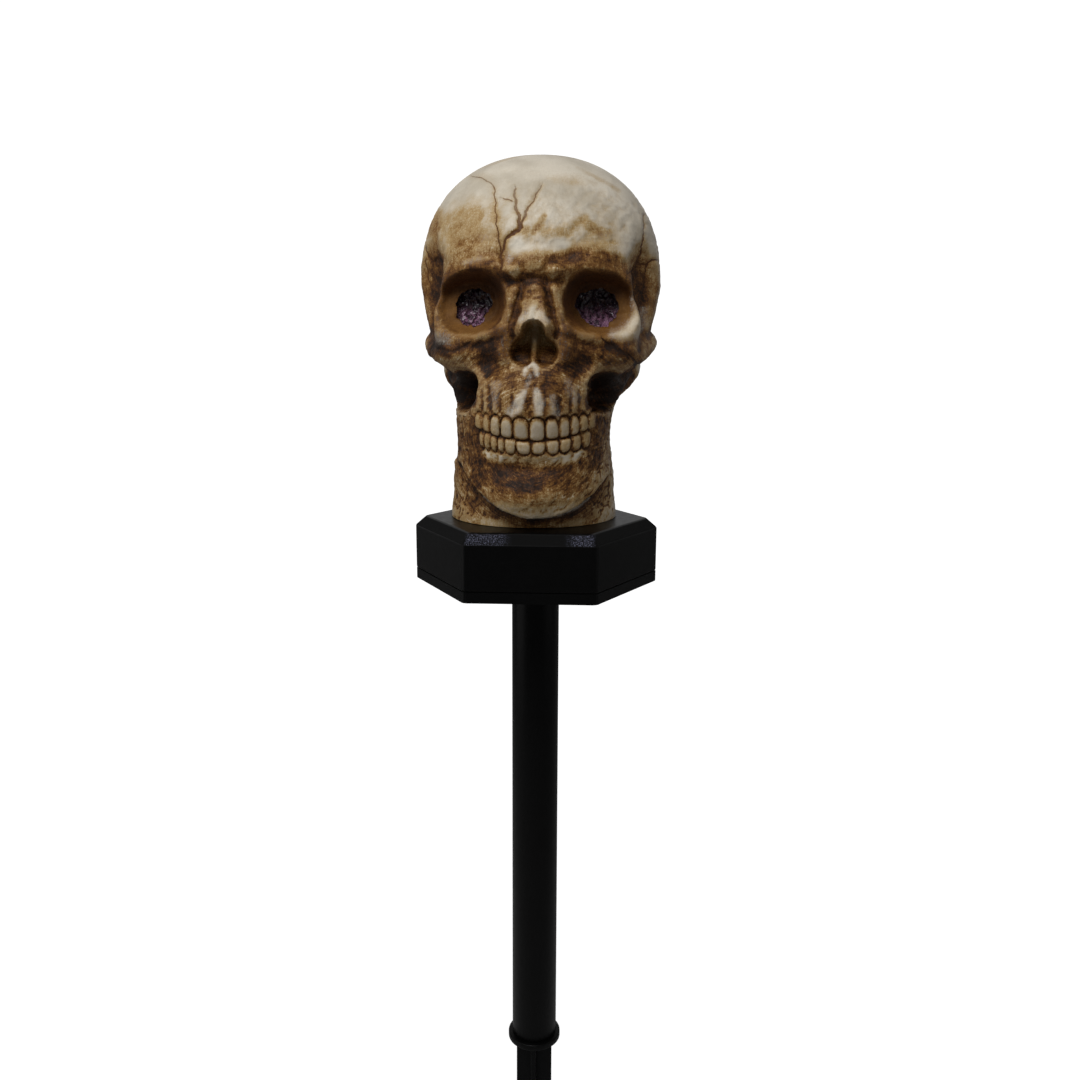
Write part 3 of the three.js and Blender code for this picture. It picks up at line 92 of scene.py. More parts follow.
def node_box(name):
    """The lowest and highest corner of a measured piece, in millimetres."""
    low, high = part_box(name)
    return np.array(low) / MM, np.array(high) / MM


def node_middle(name):
    """The middle of a measured piece's box, in millimetres."""
    low, high = node_box(name)
    return (low + high) / 2


def shade(red, green, blue):
    """A colour written from 0 to 255, as the linear values that a shader takes."""
    share = np.array([red, green, blue]) / 255
    linear = np.where(share < 0.04045, share / 12.92, ((share + 0.055) / 1.055) ** 2.4)
    return tuple(float(value) for value in linear)


def colour_property(name, description, *written):
    """A colour that the sidebar shows."""
    return bpy.props.FloatVectorProperty(
        name=name, description=description, subtype="COLOR", size=3, min=0, max=1, default=shade(*written))


def number_property(name, description, default, lowest=0.0, **more):
    """A number that the sidebar shows, with its highest value or its unit where it has one."""
    return bpy.props.FloatProperty(name=name, description=description, default=default, min=lowest, **more)


# Sizes read from the measured model, and the few that its boxes don't give
SKULL_LOW, SKULL_HIGH = node_box("skull_shell")
HUNDREDTH = (SKULL_HIGH[2] - SKULL_LOW[2]) / 100
SKULL_FOOT = SKULL_LOW[2]
LENS_LOW, LENS_HIGH = node_box("eye_lens_right")
EYE_X, _, EYE_Z = node_middle("eye_lens_right")
LENS_RADIUS = (LENS_HIGH[2] - LENS_LOW[2]) / 2
GAP = 0.3
CORNER_ROUNDED_OFF = 0.46
TUBE_LOW, TUBE_HIGH = node_box("pole_tube")
TUBE_RADIUS = TUBE_HIGH[0]
TUBE_WALL = 1
HOUSING_LOW, HOUSING_HIGH = node_box("base_housing")
BASE_CORNER_RADIUS = HOUSING_HIGH[0] + CORNER_ROUNDED_OFF
PANEL_TILT = math.radians(40)


class SkullSizes(bpy.types.PropertyGroup):
    """Sizes of the skull moulding."""
    wall: number_property("Wall", "Thickness of the moulding", 3.2, 1, max=6)
    tooth_depth: number_property("Tooth depth", "How far a tooth stands out of its groove", 2.5, max=5)
    crack_depth: number_property("Crack depth", "How deep the carved cracks are", 0.45, max=2)
    lean: number_property("Lean", "How far the upper head sits to the right of the jaw", 3.0, max=5)


class BoneColours(bpy.types.PropertyGroup):
    """Colours of the painted skull, from bare to the darkest wash."""
    cream: colour_property("Cream", "The pale ground of the crown", 205, 196, 180)
    grey: colour_property("Grey", "The greyer clouds on the crown", 168, 158, 140)
    tan: colour_property("Tan", "A thin wash", 164, 138, 95)
    ochre: colour_property("Ochre", "The wash over the face", 120, 83, 38)
    umber: colour_property("Umber", "A heavy wash", 78, 46, 17)
    # The brown in the deepest hollows is partly painted shade
    brown: colour_property("Brown", "The dark paint in hollows and cracks", 30, 16, 7)
    # The chalk is partly a painted highlight along the jaw's edge and the right eye's outer rim
    chalk: colour_property("Chalk", "The pale paint brushed over raised places", 216, 209, 194)


class PlasticColours(bpy.types.PropertyGroup):
    """Colours of the base, the pole, the spike and the eyes."""
    black: colour_property("Black", "The base, its cover, the pole and the spike", 4, 4, 4)
    plum: colour_property("Plum", "The dark purple of the eyes", 24, 10, 22)
    # The pink stands partly for painted glints on the folds
    pink: colour_property("Pink", "The bright folds in the eyes", 200, 146, 182)
    panel: colour_property("Panel", "The solar cells", 16, 26, 58)


class StageSettings(bpy.types.PropertyGroup):
    """The floor and the light."""
    floor: colour_property("Floor", "The pale floor and backdrop", 196, 196, 196)
    key: number_property("Key light", "Power of the large lamp", 8.8, unit="POWER")
    fill: number_property("Fill light", "Power of the lamp on the other side", 0.6, unit="POWER")
    side: number_property("Side light", "Power of the large lamp on the left", 1.6, unit="POWER")
    sky: number_property("Sky", "Strength of the even light", 0.13)


# Shapes worked out as arrays

def fade(value, start, end):
    """Rises from 0 to 1 between start and end as 3t^2 - 2t^3."""
    t = np.clip((value - start) / (end - start), 0, 1)
    return t * t * (3 - 2 * t)


def oval(a, b, place, tilt=0.0, power=2.0):
    """Distance from an oval's centre, 1 on the oval: (|a'/half a|^power + |b'/half b|^power)^(1/power)."""
    turn = math.radians(tilt)
    across = math.cos(turn) * (a - place[0]) + math.sin(turn) * (b - place[1])
    up = math.cos(turn) * (b - place[1]) - math.sin(turn) * (a - place[0])
    return (np.abs(across / place[2]) ** power + np.abs(up / place[3]) ** power) ** (1 / power)


def dome(q):
    """(1 - q^2)^2 inside 1 and nothing outside."""
    return np.clip(1 - q * q, 0, None) ** 2


def along_line(a, b, points):
    """Distance from a bent line, in the line's own half widths, and the share of the line passed there."""
    nearest = np.full(np.shape(a), np.inf)
    along = np.zeros(np.shape(a))
    for k, ((a0, b0, w0), (a1, b1, w1)) in enumerate(zip(points[:-1], points[1:])):
        reach = (a1 - a0) ** 2 + (b1 - b0) ** 2
        t = np.clip(((a - a0) * (a1 - a0) + (b - b0) * (b1 - b0)) / reach, 0, 1)
        distance = np.hypot(a - a0 - t * (a1 - a0), b - b0 - t * (b1 - b0)) / (w0 + (w1 - w0) * t)
        along = np.where(distance < nearest, (k + t) / (len(points) - 1), along)
        nearest = np.minimum(nearest, distance)
    return nearest, along


RIPPLE_WAVES = np.array([
    (0.61, 0.35, 0.71), (-0.42, 0.83, 0.37), (0.87, -0.22, -0.44), (0.15, 0.52, -0.84),
    (-0.73, -0.31, 0.61), (0.33, -0.91, 0.25), (0.94, 0.31, 0.12), (-0.12, 0.17, 0.98),
])


def ripples(points, length):
    """Uneven waves from about -1 to 1: 1.8 times the mean of eight sines, each bent by the one before."""
    total = np.zeros(points.shape[:-1])
    bend = np.zeros(points.shape[:-1])
    for k, wave in enumerate(RIPPLE_WAVES):
        bend = np.sin(points @ wave * (2 * math.pi / length) * (1 + 0.17 * k) + 1.3 * bend + 2.1 * k)
        total = total + bend
    return total / len(RIPPLE_WAVES) * 1.8


class Form:
    """Points in millimetres with their quads and triangles."""

    def __init__(self, points, quads, triangles):
        self.points = np.asarray(points, float).reshape(-1, 3)
        self.quads = np.asarray(quads, int).reshape(-1, 4)
        self.triangles = np.asarray(triangles, int).reshape(-1, 3)

    def placed(self, axes=np.eye(3), origin=(0, 0, 0)):
        """The form with its own three axes laid along the given rows, from an origin."""
        axes = np.asarray(axes, float)
        flip = np.linalg.det(axes) < 0
        turned = Form(self.points @ axes + np.asarray(origin), self.quads, self.triangles)
        if flip:
            turned.quads = turned.quads[:, ::-1]
            turned.triangles = turned.triangles[:, ::-1]
        return turned


def together(forms):
    """Several forms as one."""
    starts = np.cumsum([0] + [len(form.points) for form in forms[:-1]])
    return Form(
        np.concatenate([form.points for form in forms]),
        np.concatenate([form.quads + start for form, start in zip(forms, starts)]),
        np.concatenate([form.triangles + start for form, start in zip(forms, starts)]))


def ring_form(rings, closed_loop=False):
    """Rings of points joined by quads; the ends are fans to their middles, or meet when the loop is closed."""
    rows, columns = rings.shape[:2]
    row, column = np.meshgrid(np.arange(rows if closed_loop else rows - 1), np.arange(columns), indexing="ij")
    above = (row + 1) % rows
    beside = (column + 1) % columns
    corners = [row * columns + column, row * columns + beside, above * columns + beside, above * columns + column]
    quads = np.stack([corner.ravel() for corner in corners], -1)
    points = rings.reshape(-1, 3)
    if closed_loop:
        return Form(points, quads, [])
    points = np.vstack([points, rings[0].mean(0), rings[-1].mean(0)])
    side = np.arange(columns)
    last = (rows - 1) * columns
    low = np.stack([np.full(columns, rows * columns), (side + 1) % columns, side], -1)
    high = np.stack([last + side, last + (side + 1) % columns, np.full(columns, rows * columns + 1)], -1)
    return Form(points, quads, np.vstack([low, high]))


def softened(corners, reach, steps=4, closed=False):
    """A line of corners with each one replaced by the curve (1-t)^2 A + 2t(1-t) P + t^2 B."""
    corners = np.asarray(corners, float)
    before = np.roll(corners, 1, 0) - corners
    after = np.roll(corners, -1, 0) - corners
    far_before = np.linalg.norm(before, axis=1, keepdims=True)
    far_after = np.linalg.norm(after, axis=1, keepdims=True)
    cut = np.minimum(reach, np.minimum(far_before, far_after) * 0.45)
    start = (corners + before / far_before * cut)[:, None]
    end = (corners + after / far_after * cut)[:, None]
    t = np.linspace(0, 1, steps)[None, :, None]
    curve = ((1 - t) ** 2 * start + 2 * t * (1 - t) * corners[:, None] + t ** 2 * end)
    if closed:
        return curve.reshape(-1, corners.shape[1])
    return np.vstack([corners[:1], curve[1:-1].reshape(-1, corners.shape[1]), corners[-1:]])


def turned(profile, sides=64, closed_loop=False):
    """A profile of (radius, height) turned about the third axis: (r cos a, r sin a, h)."""
    profile = np.asarray(profile, float)
    angle = np.arange(sides) * 2 * math.pi / sides
    radius, height = profile[:, :1], profile[:, 1:]
    rings = np.stack([radius * np.cos(angle), radius * np.sin(angle), height + 0 * angle], -1)
    return ring_form(rings, closed_loop)


def soft_block(corners, rounding, profile, steps=6, closed_loop=False):
    """A convex outline with rounded corners carried along a profile of (inset, height).

    Each corner's arc has its centre drawn in along the corner's middle line by (inset + rounding) / cos(half turn).
    """
    corners = np.asarray(corners, float)
    profile = np.asarray(profile, float)
    edge = np.roll(corners, -1, 0) - corners
    facing = np.arctan2(edge[:, 1], edge[:, 0]) - math.pi / 2
    before = np.roll(facing, 1)
    half_turn = np.mod(facing - before, 2 * math.pi) / 2
    middle = before + half_turn
    spread = np.linspace(-1, 1, steps)
    angle = (middle[:, None] + half_turn[:, None] * spread).ravel()
    pull = np.repeat(np.stack([np.cos(middle), np.sin(middle)], -1) / np.cos(half_turn)[:, None], steps, 0)
    arc = np.stack([np.cos(angle), np.sin(angle)], -1) * rounding
    inset = profile[:, :1, None]
    flat = np.repeat(corners, steps, 0)[None] - pull[None] * (inset + rounding) + arc[None]
    height = np.broadcast_to(profile[:, 1:, None], (len(profile), len(angle), 1))
    return ring_form(np.concatenate([flat, height], -1), closed_loop)


def rectangle(half_a, half_b):
    """Four corners, anticlockwise."""
    return [(-half_a, -half_b), (half_a, -half_b), (half_a, half_b), (-half_a, half_b)]


def soft_box(low, high, rounding):
    """A box with softened edges between two corners."""
    low, high = np.asarray(low, float), np.asarray(high, float)
    half = (high - low) / 2
    profile = softened([(half.min() * 0.5, low[2]), (0, low[2]), (0, high[2]), (half.min() * 0.5, high[2])], rounding)
    middle = (low + high) / 2
    return soft_block(rectangle(half[0], half[1]), rounding, profile).placed(origin=(middle[0], middle[1], 0))


# Meshes and objects

def filled_mesh(name, form):
    """A mesh with the form's points in metres."""
    mesh = bpy.data.meshes.new(name)
    corners = np.concatenate([form.quads.ravel(), form.triangles.ravel()]).astype(np.int32)
    sizes = np.concatenate([np.full(len(form.quads), 4), np.full(len(form.triangles), 3)])
    starts = np.concatenate([[0], np.cumsum(sizes)[:-1]]).astype(np.int32)
    mesh.vertices.add(len(form.points))
    mesh.vertices.foreach_set("co", (form.points * MM).astype(np.float32).ravel())
    mesh.loops.add(len(corners))
    mesh.loops.foreach_set("vertex_index", corners)
    mesh.polygons.add(len(sizes))
    mesh.polygons.foreach_set("loop_start", starts)
    mesh.update(calc_edges=True)
    return mesh


def new_object(name, mesh):
    """An object at the origin in the scene's own collection."""
    made = bpy.data.objects.new(name, mesh)
    bpy.context.scene.collection.objects.link(made)
    return made


def new_piece(name, form):
    """An object with the form as its mesh."""
    return new_object(name, filled_mesh(name, form))


def worked(piece, operation, form, wash=0.2):
    """Joins a form to a piece or cuts it away, and keeps the result as the piece's mesh."""
    tool = new_piece("tool", form)
    layer = tool.data.attributes.new("wash", "FLOAT", "POINT")
    layer.data.foreach_set("value", np.full(len(form.points), wash, np.float32))
    change = piece.modifiers.new("Work", "BOOLEAN")
    change.operation = operation
    change.solver = "MANIFOLD"
    change.object = tool
    bpy.context.view_layer.update()
    result = bpy.data.meshes.new_from_object(piece.evaluated_get(bpy.context.evaluated_depsgraph_get()))
    if len(result.vertices) < 8:
        raise RuntimeError(f"{piece.name}: the {operation.lower()} left nothing")
    piece.modifiers.clear()
    old = piece.data
    piece.data = result
    result.name = old.name
    bpy.data.meshes.remove(old)
    bpy.data.objects.remove(tool)


def finish_piece(piece, body, slot, nodes, sharp=40):
    """Gives a piece its body, its slot's finish and smooth faces, in place of the nodes."""
    piece.data.materials.clear()
    piece.data.materials.append(finish(slot))
    piece.data.polygons.foreach_set("use_smooth", np.ones(len(piece.data.polygons), bool))
    piece.data.set_sharp_from_angle(angle=math.radians(sharp))
    piece.data.validate()
    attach(piece, body)
    if nodes:
        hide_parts(*nodes)
    return piece


def make_piece(name, form, body, slot, nodes, sharp=40):
    """A finished piece straight from a form."""
    return finish_piece(new_piece(name, form), body, slot, nodes, sharp)


# Finishes

class Value:
    """A value that runs through a material's nodes, so that sums are written with their signs."""

    def __init__(self, recipe, socket):
        self.recipe = recipe
        self.socket = socket

    def __add__(self, other):
        return self.recipe.sum("ADD", self, other)

    def __mul__(self, other):
        return self.recipe.sum("MULTIPLY", self, other)

    def __rsub__(self, other):
        return self.recipe.sum("SUBTRACT", other, self)

    def size(self):
        """The value without its sign."""
        return self.recipe.sum("ABSOLUTE", self)

    def most(self, other):
        """The larger of two values."""
        return self.recipe.sum("MAXIMUM", self, other)

    def swing(self, reach):
        """A pattern about one half, as a value about nothing."""
        return self.recipe.sum("SUBTRACT", self, 0.5) * reach

    def ramp(self, start, end, low=0.0, high=1.0):
        """Runs smoothly from low to high as the value goes from start to end."""
        inputs = {"Value": self, "From Min": start, "From Max": end, "To Min": low, "To Max": high}
        return self.recipe.value("MapRange", "Result", inputs, interpolation_type="SMOOTHSTEP")


class Recipe:
    """A material under construction. Patterns read the object's own coordinates, in millimetres."""

    def __init__(self, name, centre=(0, 0, 0), tilt=0.0):
        self.material = bpy.data.materials.new(name)
        self.material.use_nodes = True
        self.tree = self.material.node_tree
        self.tree.nodes.clear()
        self.shader = self.node("BsdfPrincipled")
        self.feed(self.node("OutputMaterial").inputs["Surface"], self.shader.outputs["BSDF"])
        self.place = self.value("Mapping", "Vector", {
            "Vector": self.node("TexCoord").outputs["Object"],
            "Scale": (1 / MM, 1 / MM, 1 / MM),
            "Rotation": (tilt, 0, 0),
            "Location": -(Matrix.Rotation(tilt, 3, "X") @ Vector(centre)),
        })

    def node(self, kind):
        return self.tree.nodes.new("ShaderNode" + kind)

    def feed(self, socket, value):
        """Links a value to a socket, or sets it there."""
        value = getattr(value, "socket", value)
        if isinstance(value, bpy.types.NodeSocket):
            self.tree.links.new(value, socket)
        elif socket.type == "RGBA":
            socket.default_value = (*value, 1)
        else:
            socket.default_value = value

    def value(self, kind, output, inputs, **settings):
        """One output of a new node with the given settings and inputs."""
        node = self.node(kind)
        for name, setting in settings.items():
            setattr(node, name, setting)
        for name, value in inputs.items():
            self.feed(node.inputs[name], value)
        return Value(self, node.outputs[output])

    def sum(self, operation, first, second=0.0):
        return self.value("Math", 0, {0: first, 1: second}, operation=operation)

    def vector(self, operation, first, second=(0, 0, 0)):
        output = "Value" if operation == "LENGTH" else "Vector"
        return self.value("VectorMath", output, {0: first, 1: second}, operation=operation)

    def mix(self, factor, first, second):
        return self.value("Mix", 2, {0: factor, 6: first, 7: second}, data_type="RGBA")

    def axis(self, name):
        return self.value("SeparateXYZ", name, {0: self.place})

    def painted(self, name):
        """A value that the mesh carries at each point."""
        return self.value("Attribute", "Fac", {}, attribute_name=name)

    def scaled(self, size, stretch=(1, 1, 1)):
        """The object's coordinates in steps of the given size, times a stretch along each axis."""
        steps = tuple(1 / (size * way) for way in stretch)
        return self.value("Mapping", "Vector", {"Vector": self.place, "Scale": steps})

    def noise(self, size, detail=4, rough=0.55, bend=0.0, stretch=(1, 1, 1), place=None):
        """Cloudy noise whose largest blots have about the given size."""
        return self.value("TexNoise", "Fac", {
            "Vector": place or self.scaled(size, stretch), "Scale": 1.0, "Detail": detail, "Roughness": rough,
            "Distortion": bend,
        })

    def cells(self, size):
        """Cells of about the given size, each with a value of its own."""
        return self.value("TexVoronoi", "Color", {"Vector": self.scaled(size), "Scale": 1.0})

    def colours(self, value, stops):
        """Runs evenly through colours as the value passes their places."""
        node = self.node("ValToRGB")
        node.color_ramp.interpolation = "LINEAR"
        while len(node.color_ramp.elements) < len(stops):
            node.color_ramp.elements.new(1)
        for element, (place, colour) in zip(node.color_ramp.elements, stops):
            element.position = place
            element.color = (*colour, 1)
        self.feed(node.inputs["Fac"], value)
        return node.outputs["Color"]

    def bump(self, height, depth):
        """Raises the surface by the pattern, depth in millimetres, over any bump before it."""
        node = self.node("Bump")
        self.feed(node.inputs["Distance"], depth * MM)
        self.feed(node.inputs["Height"], height)
        before = self.shader.inputs["Normal"]
        if before.links:
            self.feed(node.inputs["Normal"], before.links[0].from_socket)
        self.feed(before, node.outputs["Normal"])

    def set(self, **values):
        for name, value in values.items():
            self.feed(self.shader.inputs[name.replace("_", " ")], value)


def tinted(colour, factor):
    """A colour with each part multiplied."""
    return tuple(part * factor for part in colour)


def thin_line(recipe, name):
    """A thin line where the signed distance that the mesh carries passes nothing, a little uneven in width."""
    beside = recipe.painted(name) + recipe.noise(2.4, 3, 0.6).swing(1.8)
    return beside.size().ramp(1.1, 0.4) * recipe.painted(name + "_near")


# The strokes' length round the mouth and their width, and the heights between which they fade, above the skull's foot
STROKE_TURNS = 5
STROKE_WIDTH = 0.9
STROKE_FADE = (94, 78)
# The wash is painted from nothing to this amount
FULL_WASH = 1.5
# The plinth's bevel, and where its painted glints lie: across and towards the front, from none to their full strength
HOUSING_CHAMFER = 5.0
GLINT_LEFT, GLINT_RIGHT, GLINT_WITHIN, GLINT_FRONT = (-8, -16), (16, 22), (31.5, 29.5), (-44, -47)
# Solar cells: half the distance between fingers and between bars, and where each pattern starts
FINGER_HALF_STEP, BAR_HALF_STEP = 0.9, 8.0
FINGER_START, BAR_START = 40, 44


def brush_strokes(recipe):
    """Fine strokes that run round the mouth: noise at 5 (direction from the mouth) and (distance from it) / 0.9."""
    mouth = (TOOTH_MIDDLE, 0, SKULL_FOOT + BITE_HEIGHT)
    flat = recipe.vector("MULTIPLY", recipe.vector("SUBTRACT", recipe.place, mouth), (1, 0, 1))
    around = recipe.vector("MULTIPLY", recipe.vector("NORMALIZE", flat), (STROKE_TURNS,) * 3)
    reach = recipe.vector("MULTIPLY", recipe.vector("LENGTH", flat), (0, 1 / STROKE_WIDTH, 0))
    return recipe.noise(1, 3, 0.65, 0.6, place=recipe.vector("ADD", around, reach))


def bone_resin():
    """Painted resin: a streaky wash from cream to nearly black that also holds painted shade in the hollows, dark thin
    cracks, and broken chalk on raised places, partly a painted highlight on the jaw's edge and the right eye's rim.
    """
    paint = bpy.context.scene.skull_light_bone
    recipe = Recipe("bone_resin")
    smear = recipe.noise(13, 4, 0.6, 1.2, (1, 1, 0.8))
    streak = recipe.noise(1.2, 4, 0.7, 0.8, (0.7, 0.7, 2.4))
    brush = recipe.noise(4, 3, 0.6, 2.0, (1.4, 1.4, 0.5))
    grain = recipe.noise(0.7, 3, 0.7)
    bare = recipe.painted("wash")
    blot = recipe.noise(9, 2, 0.5, 0.8).swing(1.3) * bare.ramp(0.35, 0.7)
    fade_from, fade_to = (SKULL_FOOT + height for height in STROKE_FADE)
    below = recipe.axis("Z").ramp(fade_from, fade_to, 0.2, 1.0)
    stroke = brush_strokes(recipe).swing(1.4) * below * bare.ramp(0.3, 0.6)
    pattern = smear.swing(0.65) + (streak.swing(1.2) + stroke) + (grain.swing(0.9) + brush.swing(0.65))
    even = 1.0 - recipe.painted("socket") * 0.75
    pattern = (pattern * bare.ramp(0.08, 0.6, 0.14, 1.0) + blot) * even * recipe.axis("Y").ramp(10, 45, 1.0, 0.5)
    crack = thin_line(recipe, "crack").most(thin_line(recipe, "branch"))
    wash = (bare + pattern).most(crack * 1.15) * (1 / FULL_WASH)
    colour = recipe.colours(wash, [
        (0.0, paint.cream), (0.18, paint.tan), (0.4, paint.ochre), (0.6, paint.umber), (0.86, paint.brown)])
    cloud = recipe.noise(24, 4).ramp(0.35, 0.7) * bare.ramp(0.35, 0.05)
    colour = recipe.mix(cloud * 0.7, colour, tuple(paint.grey))
    chalked = recipe.painted("chalk")
    chalk = chalked + (grain.swing(1.0) + streak.swing(0.9))
    chalk = chalk.ramp(0.2, 1.25) * chalked.ramp(0.02, 0.3, 0.0, 0.9)
    # Chalk, and the pale line along the jaw's edge, which is partly a painted highlight
    colour = recipe.mix(chalk.most(thin_line(recipe, "edge") * 0.6), colour, tuple(paint.chalk))
    rough = grain.ramp(0.3, 0.7, 0.36, 0.5) + bare.ramp(0.2, 0.8, 0, 0.2)
    recipe.set(Base_Color=colour, Roughness=rough, Specular_IOR_Level=0.2)
    recipe.bump(streak, 0.2)
    recipe.bump(grain, 0.12)
    recipe.bump(crack * -1.0, 0.25)
    return recipe.material


def black_plastic():
    """Satin black moulded plastic: a fine grain, faint flow clouds, and painted glints in bluish specks along the top's
    bevelled edge.
    """
    colour = tuple(bpy.context.scene.skull_light_plastic.black)
    recipe = Recipe("black_plastic")
    ground = recipe.mix(recipe.noise(30, 2).ramp(0.3, 0.7), colour, tinted(colour, 1.2))
    across, height, high = recipe.axis("X"), recipe.axis("Z"), HOUSING_HIGH[2]
    bevel = high - HOUSING_CHAMFER
    edge = height.ramp(bevel - 0.4, bevel + 0.2) * height.ramp(high - 0.2, high - 0.8)
    # Painted glints: bluish specks where the grainy front bevel catches the light, towards both ends
    ends = across.ramp(*GLINT_LEFT).most(across.ramp(*GLINT_RIGHT)) * across.size().ramp(*GLINT_WITHIN)
    bevel_glints = edge * ends * recipe.axis("Y").ramp(*GLINT_FRONT)
    recipe.set(
        Base_Color=recipe.mix(bevel_glints * recipe.noise(0.6, 3, 0.7).ramp(0.48, 0.66), ground, shade(96, 98, 116)),
        Roughness=recipe.noise(3, 5).ramp(0.2, 0.8, 0.33, 0.39).most(edge.ramp(0, 1, 0, 0.8)),
        Specular_IOR_Level=0.11)
    recipe.bump(recipe.noise(0.4, 3), 0.015)
    return recipe.material


def plain_metal(name, colour, rough, brush=(6, 6, 0.5)):
    """Drawn or rolled metal with fine lines along one way."""
    recipe = Recipe(name)
    line = recipe.noise(0.5, 3, 0.6, 0, brush)
    recipe.set(
        Base_Color=recipe.mix(line, shade(*colour), tinted(shade(*colour), 0.8)),
        Roughness=line.ramp(0.3, 0.7, rough, rough + 0.14), Metallic=1.0)
    recipe.bump(line, 0.006)
    return recipe.material


def lens_purple():
    """Crumpled purple film: nearly black, with lilac folds and painted glints towards the bottom, and painted shade
    darkening it towards the top.
    """
    paint = bpy.context.scene.skull_light_plastic
    recipe = Recipe("lens_purple")
    # Painted shade and light: the pink fades out towards the top, where the brow shades the lens
    low = recipe.axis("Z").ramp(EYE_Z + 0.25 * LENS_RADIUS, EYE_Z - 0.6 * LENS_RADIUS)
    fold = recipe.noise(3.4, 3, 0.6, 1.5).swing(2.0).size()
    glint = recipe.noise(1.3, 3, 0.6, 1.0).swing(2.0).size()
    cloud = recipe.noise(3.0, 5, 0.7, 0.6).ramp(0.42, 0.68)
    crease = fold.ramp(0.09, 0.0).most(glint.ramp(0.1, 0.0, 0, 0.6))
    amount = recipe.sum("MINIMUM", (cloud * 0.7 + crease * 0.6) * (low * 1.2 + 0.05), 1.0)
    recipe.set(
        Base_Color=recipe.mix(amount, tuple(paint.plum), tuple(paint.pink)), Roughness=0.3, Coat_Weight=0.5,
        Coat_Roughness=0.1)
    recipe.bump(fold, 0.12)
    return recipe.material


def panel_cells():
    """Dark blue cells with fine silver fingers across and two bars along, on the panel's slope."""
    recipe = Recipe("panel_cells", node_middle("solar_panel"), math.pi / 2 - PANEL_TILT)
    finger = recipe.sum("PINGPONG", recipe.axis("Y") + FINGER_START, FINGER_HALF_STEP)
    bar = recipe.sum("PINGPONG", recipe.axis("X") + BAR_START, BAR_HALF_STEP)
    silver = finger.ramp(0.07, 0.03).most(bar.ramp(0.45, 0.35))
    blue = tuple(bpy.context.scene.skull_light_plastic.panel)
    ground = recipe.mix(recipe.cells(5) * 0.5, blue, tinted(blue, 2.2))
    recipe.set(
        Base_Color=recipe.mix(silver * 0.8, ground, shade(150, 155, 160)),
        Roughness=0.18, Coat_Weight=1.0, Coat_Roughness=0.04)
    recipe.bump(recipe.noise(2, 2), 0.01)
    return recipe.material


def speckled(name, colour, other, size, rough, depth=0.01, clear=0.0):
    """Two close colours in a fine mottle."""
    recipe = Recipe(name)
    pattern = recipe.noise(size, 4)
    recipe.set(
        Base_Color=recipe.mix(pattern.ramp(0.35, 0.65), shade(*colour), shade(*other)),
        Roughness=pattern.ramp(0.3, 0.7, rough, rough + 0.12), Transmission_Weight=clear)
    recipe.bump(pattern, depth)
    return recipe.material


def coil_brown():
    """Enamelled copper turns round a dark core."""
    recipe = Recipe("coil_brown")
    turn = recipe.sum("PINGPONG", recipe.axis("Z"), 0.15)
    recipe.set(Base_Color=recipe.mix(turn.ramp(0, 0.15), shade(44, 26, 18), shade(120, 62, 30)), Roughness=0.35)
    recipe.bump(turn, 0.1)
    return recipe.material


FINISHES = {
    "bone_resin": bone_resin,
    "black_plastic": black_plastic,
    "lens_purple": lens_purple,
    "panel_cells": panel_cells,
    "coil_brown": coil_brown,
}
# Metals: colour, roughness and, where it isn't the usual one, the stretch of the fine lines
METALS = {
    "screw_steel": ((176, 178, 182), 0.26, (1, 1, 1)),
    "contact_brass": ((196, 160, 84), 0.25),
    "spring_steel": ((188, 190, 194), 0.2, (1, 1, 1)),
    "switch_case": ((170, 172, 176), 0.3),
}
# Mottled finishes: both colours, size, roughness and, where they aren't the usual ones, depth and transmission
MOTTLES = {
    "board_green": ((20, 78, 44), (28, 96, 56), 1.2, 0.3),
    "chip_black": ((24, 24, 26), (34, 34, 36), 0.3, 0.5),
    "white_plastic": ((226, 223, 212), (216, 213, 202), 3, 0.35),
    "cell_wrap": ((34, 112, 66), (40, 126, 76), 9, 0.25),
    "lamp_clear": ((228, 220, 236), (214, 204, 226), 2, 0.06, 0.002, 0.8),
    "gasket_rubber": ((26, 26, 26), (36, 36, 35), 0.5, 0.75, 0.03),
    "cable_red": ((140, 26, 24), (120, 20, 20), 4, 0.4),
    "cable_black": ((20, 20, 20), (30, 30, 30), 4, 0.4),
}


def finish(slot):
    """The one material of a slot, made on first use."""
    made = bpy.data.materials.get("finish_" + slot)
    if made is None:
        if slot in METALS:
            made = plain_metal(slot, *METALS[slot])
        elif slot in MOTTLES:
            made = speckled(slot, *MOTTLES[slot])
        else:
            made = FINISHES[slot]()
        made.name = "finish_" + slot
    return made


# The skull's own tables, all in shares. Outline rows: height, half width, front, back, squareness
OUTLINE_SHARES = np.array([
    (-6.6, 23.4, -24, 25.5, 2), (0, 23.4, -26, 25.5, 2), (5.5, 23.3, -27.6, 26, 2.05),
    (11, 22.7, -28.6, 27, 2.15), (17.5, 21.9, -28.3, 30.5, 2.25), (24, 21.8, -29.7, 35.5, 2.3),
    (30, 22.4, -30.8, 39.5, 2.3), (36, 24.2, -30.5, 42.5, 2.25), (43, 27.6, -29.6, 44.5, 2.2),
    (49.5, 30.4, -28.9, 46, 2.2), (57, 32.4, -28.5, 46.7, 2.2), (65, 33.8, -28.5, 46.3, 2.15),
    (71.5, 34.4, -29, 46.2, 2.1),
])
CROWN_START_SHARE = 65
CROWN_POWER = 2.25
SPINE_SHARES = (3.3, 8.2)
NECK_SHARES = (23.2, -19.8, 25.4)
JAW_EDGE_SHARES = (2.4, 7.0, 16.5)
JAW_SHIFT_SHARE = 2.5
